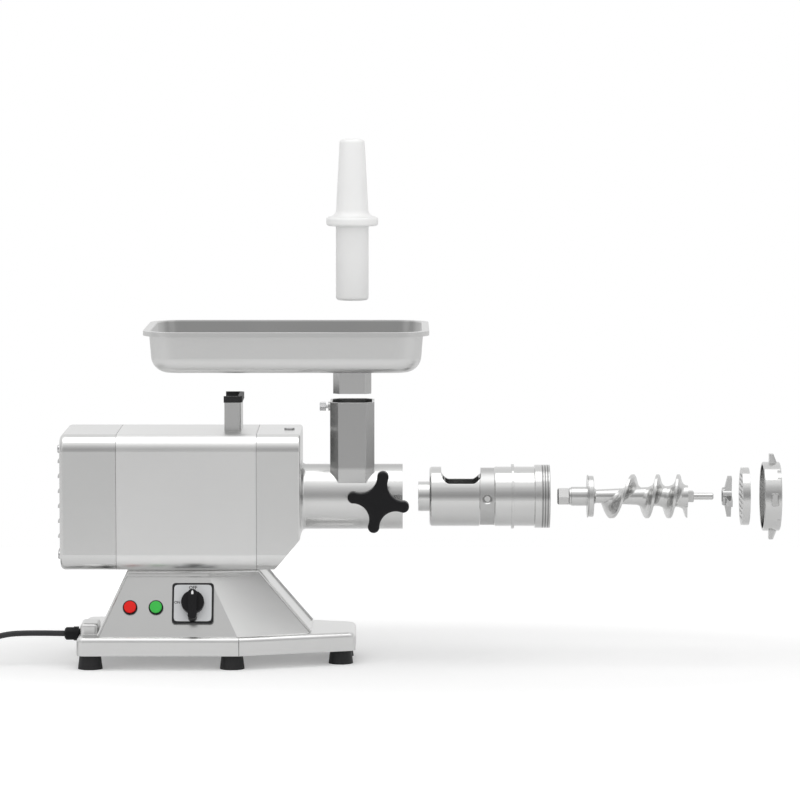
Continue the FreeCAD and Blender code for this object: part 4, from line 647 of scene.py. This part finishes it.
def mesh_of(name, parts):
    """One mesh of several closed forms, smooth except where faces meet at a sharp angle."""
    points, faces = [], []
    for part_points, part_faces in parts:
        start = len(points)
        points += part_points
        faces += [tuple(start + index for index in face) for face in part_faces]
    mesh = bpy.data.meshes.new(name)
    mesh.from_pydata(points, [], faces)
    mesh.update()
    mesh.shade_smooth()
    mesh.set_sharp_from_angle(angle=SHARP_ANGLE)
    return mesh


def round_angles(sides, turn=0.0):
    return [turn + 2 * math.pi * j / sides for j in range(sides)]


def turned(outline, sides=64, turn=0.0):
    """A form about the worm axis: outline holds places along it and distances out from it."""
    rings = []
    for along, out in outline:
        rings.append([Vector((along, out * math.cos(a), AXIS_Z + out * math.sin(a)))
                      for a in round_angles(sides, turn)])
    return skin(rings)


# Worm: hexagon, collar, journal, flange, core with its flight, square and stud. Its places are
# counted from its rear end.
HEX_LENGTH = 0.0145
HEX_FLATS = 0.019
HEX_BREAK = 0.0012
HEX_END_SHARES = (0.88, 0.9)
NECK_RADIUS = 0.0085
COLLAR_RADIUS = 0.0105
COLLAR_STEPS = (0.002, 0.0024)
JOURNAL_RADIUS = 0.0115
FLANGE_PLACES = (0.0371, 0.0438)
FLANGE_RADIUS = 0.025
FLANGE_BREAKS = (0.0006, 0.0008)
FLIGHT_LENGTH = 0.1147
CORE_RADII = (0.008, 0.0135)
ROOT_FILLET = [(0.0, 0.0125), (0.0006, 0.0108), (0.0018, 0.0092), (0.0036, CORE_RADII[0] + 0.0002)]
SQUARE_SIDE = 0.013
SQUARE_LENGTH = 0.007
SQUARE_END_SHARE = 0.9
STUD_RADIUS = 0.0042
STUD_LENGTH = 0.024
STUD_SIDES = 32
END_BREAK = 0.0008
OVERLAP = 0.001
# Flight: shares of its length, angles in degrees, and its flank as half widths and shares of height
CREST_RADIUS = 0.027 - 0.0002
FIRST_LOW_SHARE = 0.182
LEAD_IN_SHARE = 0.122
LEAD_IN_ANGLES = (360.0, 270.0)
LEAD_IN_HEIGHT = 0.1
HALF_TURN = 180.0
HALF_TURN_SHARES = [0.235, 0.148, 0.115, 0.117, 0.103]
FLIGHT_STEP = 6.0
FLIGHT_FLANK = [(0.0122, -0.05), (0.0100, 0.015), (0.0080, 0.065), (0.0062, 0.145), (0.0048, 0.26),
                (0.0038, 0.40), (0.0030, 0.58), (0.0024, 0.78), (0.0019, 0.95), (0.0014, 1.0)]


def flight_stations(start, end):
    """Places along the axis where the flight's lead changes, each with its angle."""
    length = end - start
    low = start + FIRST_LOW_SHARE * length
    stations = [(low - LEAD_IN_SHARE * length, LEAD_IN_ANGLES[0]), (low, LEAD_IN_ANGLES[1])]
    for share in HALF_TURN_SHARES:
        stations.append((stations[-1][0] + share * length, stations[-1][1] - HALF_TURN))
    tail = (end - stations[-1][0]) / (HALF_TURN_SHARES[-1] * length)
    stations.append((end, stations[-1][1] - HALF_TURN * tail))
    return stations


def flight_form(start, end):
    """The flight: a narrow crest on hollow flanks, swept round the core with a changing lead."""
    length = end - start
    lead_in = LEAD_IN_SHARE * length
    stations = flight_stations(start, end)
    sections = []
    for (x0, angle0), (x1, angle1) in zip(stations[:-1], stations[1:]):
        steps = max(2, round((angle0 - angle1) / FLIGHT_STEP))
        sections += [(x0 + (x1 - x0) * i / steps, angle0 + (angle1 - angle0) * i / steps)
                     for i in range(steps)]
    sections.append(stations[-1])
    profile = [(-side, share) for side, share in FLIGHT_FLANK] + FLIGHT_FLANK[::-1]
    rings = []
    for x, angle in sections:
        core = CORE_RADII[0] + (CORE_RADII[1] - CORE_RADII[0]) * (x - start) / length
        lead = min(1.0, (x - stations[0][0]) / lead_in)
        rise = LEAD_IN_HEIGHT + (1 - LEAD_IN_HEIGHT) * math.sin(lead * math.pi / 2)
        crest = core + (CREST_RADIUS - core) * rise
        turn = math.radians(angle)
        ring = []
        for side, share in profile:
            along = min(max(x + side, start), end)
            out = core + (crest - core) * share
            ring.append(Vector((along, out * math.cos(turn), AXIS_Z + out * math.sin(turn))))
        rings.append(ring)
    return skin(rings)


def make_worm():
    rear = WORM_REAR_X
    hex_end = rear + HEX_LENGTH
    flange, start = rear + FLANGE_PLACES[0], rear + FLANGE_PLACES[1]
    end = start + FLIGHT_LENGTH
    square_end = end + SQUARE_LENGTH
    stud_end = square_end + STUD_LENGTH
    hex_corner = HEX_FLATS / math.sqrt(3)
    square_corner = SQUARE_SIDE / math.sqrt(2)
    hexagon = turned([(rear, hex_corner * HEX_END_SHARES[0]), (rear + HEX_BREAK, hex_corner),
                      (hex_end - HEX_BREAK, hex_corner),
                      (hex_end, hex_corner * HEX_END_SHARES[1])], sides=6)
    outline = [(hex_end - OVERLAP, NECK_RADIUS), (hex_end, NECK_RADIUS), (hex_end, COLLAR_RADIUS),
               (hex_end + COLLAR_STEPS[0], COLLAR_RADIUS),
               (hex_end + COLLAR_STEPS[1], JOURNAL_RADIUS), (flange, JOURNAL_RADIUS),
               (flange, FLANGE_RADIUS - FLANGE_BREAKS[0]),
               (flange + FLANGE_BREAKS[0], FLANGE_RADIUS),
               (start - FLANGE_BREAKS[1], FLANGE_RADIUS),
               (start, FLANGE_RADIUS - FLANGE_BREAKS[1])]
    outline += [(start + step, out) for step, out in ROOT_FILLET]
    body = turned(outline + [(end, CORE_RADII[1])])
    square = turned([(end - OVERLAP, square_corner), (square_end - END_BREAK, square_corner),
                     (square_end, square_corner * SQUARE_END_SHARE)], sides=4, turn=math.pi / 4)
    stud = turned([(square_end - OVERLAP, STUD_RADIUS), (stud_end - END_BREAK, STUD_RADIUS),
                   (stud_end, STUD_RADIUS - END_BREAK)], sides=STUD_SIDES)
    mesh = mesh_of("worm", [hexagon, body, flight_form(start, end), square, stud])
    add_piece("worm", mesh, "worm_steel", "worm", ["feed_screw"])


# Pusher: a turned rod with a soft-edged flange. Its heights are counted from its lower end.
SHAFT_RADIUS = 0.0198
FLANGE_BOTTOM, FLANGE_TOP = 0.090, 0.101
STOP_RADIUS = 0.0315
HANDLE_RADII = (0.0195, 0.0153)
PUSHER_SIDES = 96
TIP_RADIUS = 0.0005
END_ROUND = 0.004
ROOT_ROUND = 0.002
RIM_ROUND = 0.0036
FLARE_ROUND = 0.009
CROWN_ROUND = 0.005


def arc(out, up, radius, first, last, steps=8):
    angles = [math.radians(first + (last - first) * i / steps) for i in range(steps + 1)]
    return [(out + radius * math.cos(a), up + radius * math.sin(a)) for a in angles]


def make_pusher():
    top = PUSHER_HIGH.z - PUSHER_LOW.z
    centre = (PUSHER_LOW + PUSHER_HIGH) / 2
    outline = [(TIP_RADIUS, 0.0)]
    outline += arc(SHAFT_RADIUS - END_ROUND, END_ROUND, END_ROUND, -90, 0)
    outline += arc(SHAFT_RADIUS + ROOT_ROUND, FLANGE_BOTTOM - ROOT_ROUND, ROOT_ROUND, 180, 90,
                   steps=5)
    outline += arc(STOP_RADIUS - RIM_ROUND, FLANGE_BOTTOM + RIM_ROUND, RIM_ROUND, -90, 0)
    outline += arc(STOP_RADIUS - RIM_ROUND, FLANGE_TOP - RIM_ROUND, RIM_ROUND, 0, 90)
    outline += arc(HANDLE_RADII[0] + FLARE_ROUND, FLANGE_TOP + FLARE_ROUND, FLARE_ROUND, 270, 180,
                   steps=12)
    outline += arc(HANDLE_RADII[1] - CROWN_ROUND, top - CROWN_ROUND, CROWN_ROUND, 0, 90)
    outline += [(TIP_RADIUS, top)]
    rings = []
    for out, up in outline:
        rings.append([Vector((centre.x + out * math.cos(a), centre.y + out * math.sin(a),
                              PUSHER_LOW.z + up)) for a in round_angles(PUSHER_SIDES)])
    mesh = mesh_of("pusher_rod", [skin(rings)])
    add_piece("pusher_rod", mesh, "white_plastic", "pusher", ["pusher"])


# Beads on the front and the back of the machine, as steps from the gear face: the rolled edges of
# the pedestal shell, and dark lines at the folds in the base, sunk in its wall: painted shade in
# the creases
PEDESTAL_EDGES = [[(along, side * out, up) for along, out, up in [
    (-0.2426, 0.0876, 0.041), (-0.2078, 0.0576, 0.1148), (-0.1134, 0.0576, 0.1148),
    (-0.0508, 0.0472, 0.1148), (0.0118, 0.0518, 0.041)]] for side in (-1, 1)]
EDGE_RADIUS = 0.0018
# Dark lines at the base's folds: painted shade in the creases.
BASE_CREASE_SHADES = [[(-0.0734, side * out, up) for out, up in [
    (0.0943, 0.0177), (0.0943, 0.034), (0.0936, 0.0367), (0.0917, 0.0386)]] for side in (-1, 1)]
CREASE_SHADE_RADIUS = 0.0008
BEAD_RESOLUTION = 4


def round_curve(name, radius, resolution):
    curve = bpy.data.curves.new(name, "CURVE")
    curve.dimensions = "3D"
    curve.bevel_depth = radius
    curve.bevel_resolution = resolution
    curve.use_fill_caps = True
    return curve


def add_spline(curve, kind, points):
    spline = curve.splines.new(kind)
    spline.points.add(len(points) - 1)
    for point, place in zip(spline.points, points):
        point.co = (*place, 1)
    return spline


def make_beads(name, lines, radius, look):
    curve = round_curve(name, radius, BEAD_RESOLUTION)
    for line in lines:
        add_spline(curve, "POLY", [(GEAR_FACE_X + along, across, up) for along, across, up in line])
    add_piece(name, curve, look, "machine")


# Switch face, its words, and the mark on the knob, laid out on the leaning panel
PANEL_LEAN = math.atan2(0.032, 0.078)
PANEL_RIGHT = Vector((1, 0, 0))
PANEL_OUT = Vector((0, -math.cos(PANEL_LEAN), math.sin(PANEL_LEAN)))
PANEL_UP = Vector((0, math.sin(PANEL_LEAN), math.cos(PANEL_LEAN)))
PANEL_AXES = Matrix((PANEL_RIGHT, PANEL_UP, PANEL_OUT)).transposed().to_4x4()
PLATE_HALF_THICKNESS = 0.00245
SWITCH_FACE = (SWITCH_LOW + SWITCH_HIGH) / 2 + PANEL_OUT * PLATE_HALF_THICKNESS
LABEL_HALF = 0.0226
LABEL_HOLE = 0.0062
LABEL_LEVELS = (-0.0004, 0.0002)
LABEL_POINTS = 72
# Power of the curve that rounds the label's corners
LABEL_POWER = 14
# Words: steps right and up from the middle of the label, and size
WORDS = [("OFF", 0.0, 0.0189, 0.0056), ("ON", -0.0187, 0.0006, 0.0045)]
WORD_THICKNESS = 0.00003
WORD_WEIGHT = 0.0001
KNOB_MARK = [(-0.0013, 0.0070), (0.0013, 0.0070), (0.0013, 0.0100), (0.0, 0.0122),
             (-0.0013, 0.0100)]
KNOB_TOP = 0.0153
MARK_LEVELS = (KNOB_TOP - 0.0004, KNOB_TOP + 0.0001)


def on_panel(right, up, out):
    return SWITCH_FACE + Vector((right, 0, 0)) + PANEL_UP * up + PANEL_OUT * out


def make_label():
    """A pale square with rounded corners and a hole for the knob's shaft."""
    square, hole = [], []
    for angle in round_angles(LABEL_POINTS):
        c, s = math.cos(angle), math.sin(angle)
        reach = LABEL_HALF / (abs(c) ** LABEL_POWER + abs(s) ** LABEL_POWER) ** (1 / LABEL_POWER)
        square.append((c * reach, s * reach))
        hole.append((c * LABEL_HOLE, s * LABEL_HOLE))
    low, high = LABEL_LEVELS
    loops = [(hole, low), (square, low), (square, high), (hole, high)]
    rings = [[on_panel(right, up, out) for right, up in loop] for loop, out in loops]
    mesh = mesh_of("switch_face", [skin(rings, ends=False)])
    add_piece("switch_face", mesh, "switch_grey", "machine")


def make_words():
    for word, right, up, size in WORDS:
        name = "word_" + word.lower()
        text = bpy.data.curves.new(name, "FONT")
        text.body = word
        text.size = size
        text.extrude = WORD_THICKNESS
        text.offset = WORD_WEIGHT
        text.align_x = "CENTER"
        text.align_y = "CENTER"
        piece = add_piece(name, text, "print_black", "machine")
        place = on_panel(right, up, LABEL_LEVELS[1] + WORD_THICKNESS)
        piece.matrix_world = Matrix.Translation(place) @ PANEL_AXES


def make_knob_mark():
    rings = [[on_panel(right, up, out) for right, up in KNOB_MARK] for out in MARK_LEVELS]
    mesh = mesh_of("knob_mark", [skin(rings)])
    add_piece("knob_mark", mesh, "print_white", "switch_knob")


# Mains lead: the route's points, then the coil's half turns, on one smooth line
CORD_DIAMETER = 0.007
CORD_RESOLUTION = 6
LEAD_STEPS = [(0, 0, 0), (-0.038, 0.0004, 0.0008), (-0.078, -0.0006, -0.0010),
              (-0.111, -0.0025, -0.0165), (-0.143, -0.0040, -0.0323), (-0.178, -0.0040, -0.0332)]
COIL_RADIUS = 0.04985
COIL_PITCH = 0.0077
HALF_TURNS_IN = 5
HALF_TURNS_OUT = 4
POINTS_PER_HALF_TURN = 12
TAIL_LENGTH = 0.038


def coil_points(start):
    """Half turns that spiral in, one that climbs a layer, and half turns that spiral out again."""
    here = start + Vector((-CORD_DIAMETER, 0, 0))
    points = [here]
    heading = 1
    step = COIL_PITCH / 2
    climb_radius = COIL_RADIUS - HALF_TURNS_IN * step
    radii = [COIL_RADIUS - i * step for i in range(HALF_TURNS_IN)]
    radii += [climb_radius]
    radii += [climb_radius + (i + 1) * step for i in range(HALF_TURNS_OUT)]
    for turn, radius in enumerate(radii):
        centre = here + Vector((0, heading * radius, 0))
        rise = COIL_PITCH if turn == HALF_TURNS_IN else 0.0
        for i in range(1, POINTS_PER_HALF_TURN + 1):
            angle = math.pi * (i / POINTS_PER_HALF_TURN)
            climb = rise * (1 - math.cos(angle)) / 2
            points.append(centre + Vector((-heading * radius * math.sin(angle),
                                           -heading * radius * math.cos(angle), climb)))
        here = points[-1]
        heading = -heading
    points.append(here + Vector((-TAIL_LENGTH, 0, 0)))
    return points


def make_cord():
    route = [GLAND_MOUTH + Vector(step) for step in LEAD_STEPS]
    curve = round_curve("mains_lead", CORD_DIAMETER / 2, CORD_RESOLUTION)
    curve.resolution_u = CORD_RESOLUTION
    spline = add_spline(curve, "NURBS", route + coil_points(route[-1]))
    spline.order_u = 3
    spline.use_endpoint_u = True
    lead = add_piece("mains_lead", curve, "cord_rubber", "machine",
                     ["mains_cord", "cord_coil"])


make_camera()
make_world()
make_floor()
make_lamps()
dress_nodes()
make_worm()
make_pusher()
make_beads("pedestal_edges", PEDESTAL_EDGES, EDGE_RADIUS, "edge_steel")
make_beads("base_crease_shades", BASE_CREASE_SHADES, CREASE_SHADE_RADIUS, "crease_shade_steel")
make_label()
make_words()
make_knob_mark()
make_cord()

scene.view_settings.view_transform = "Standard"
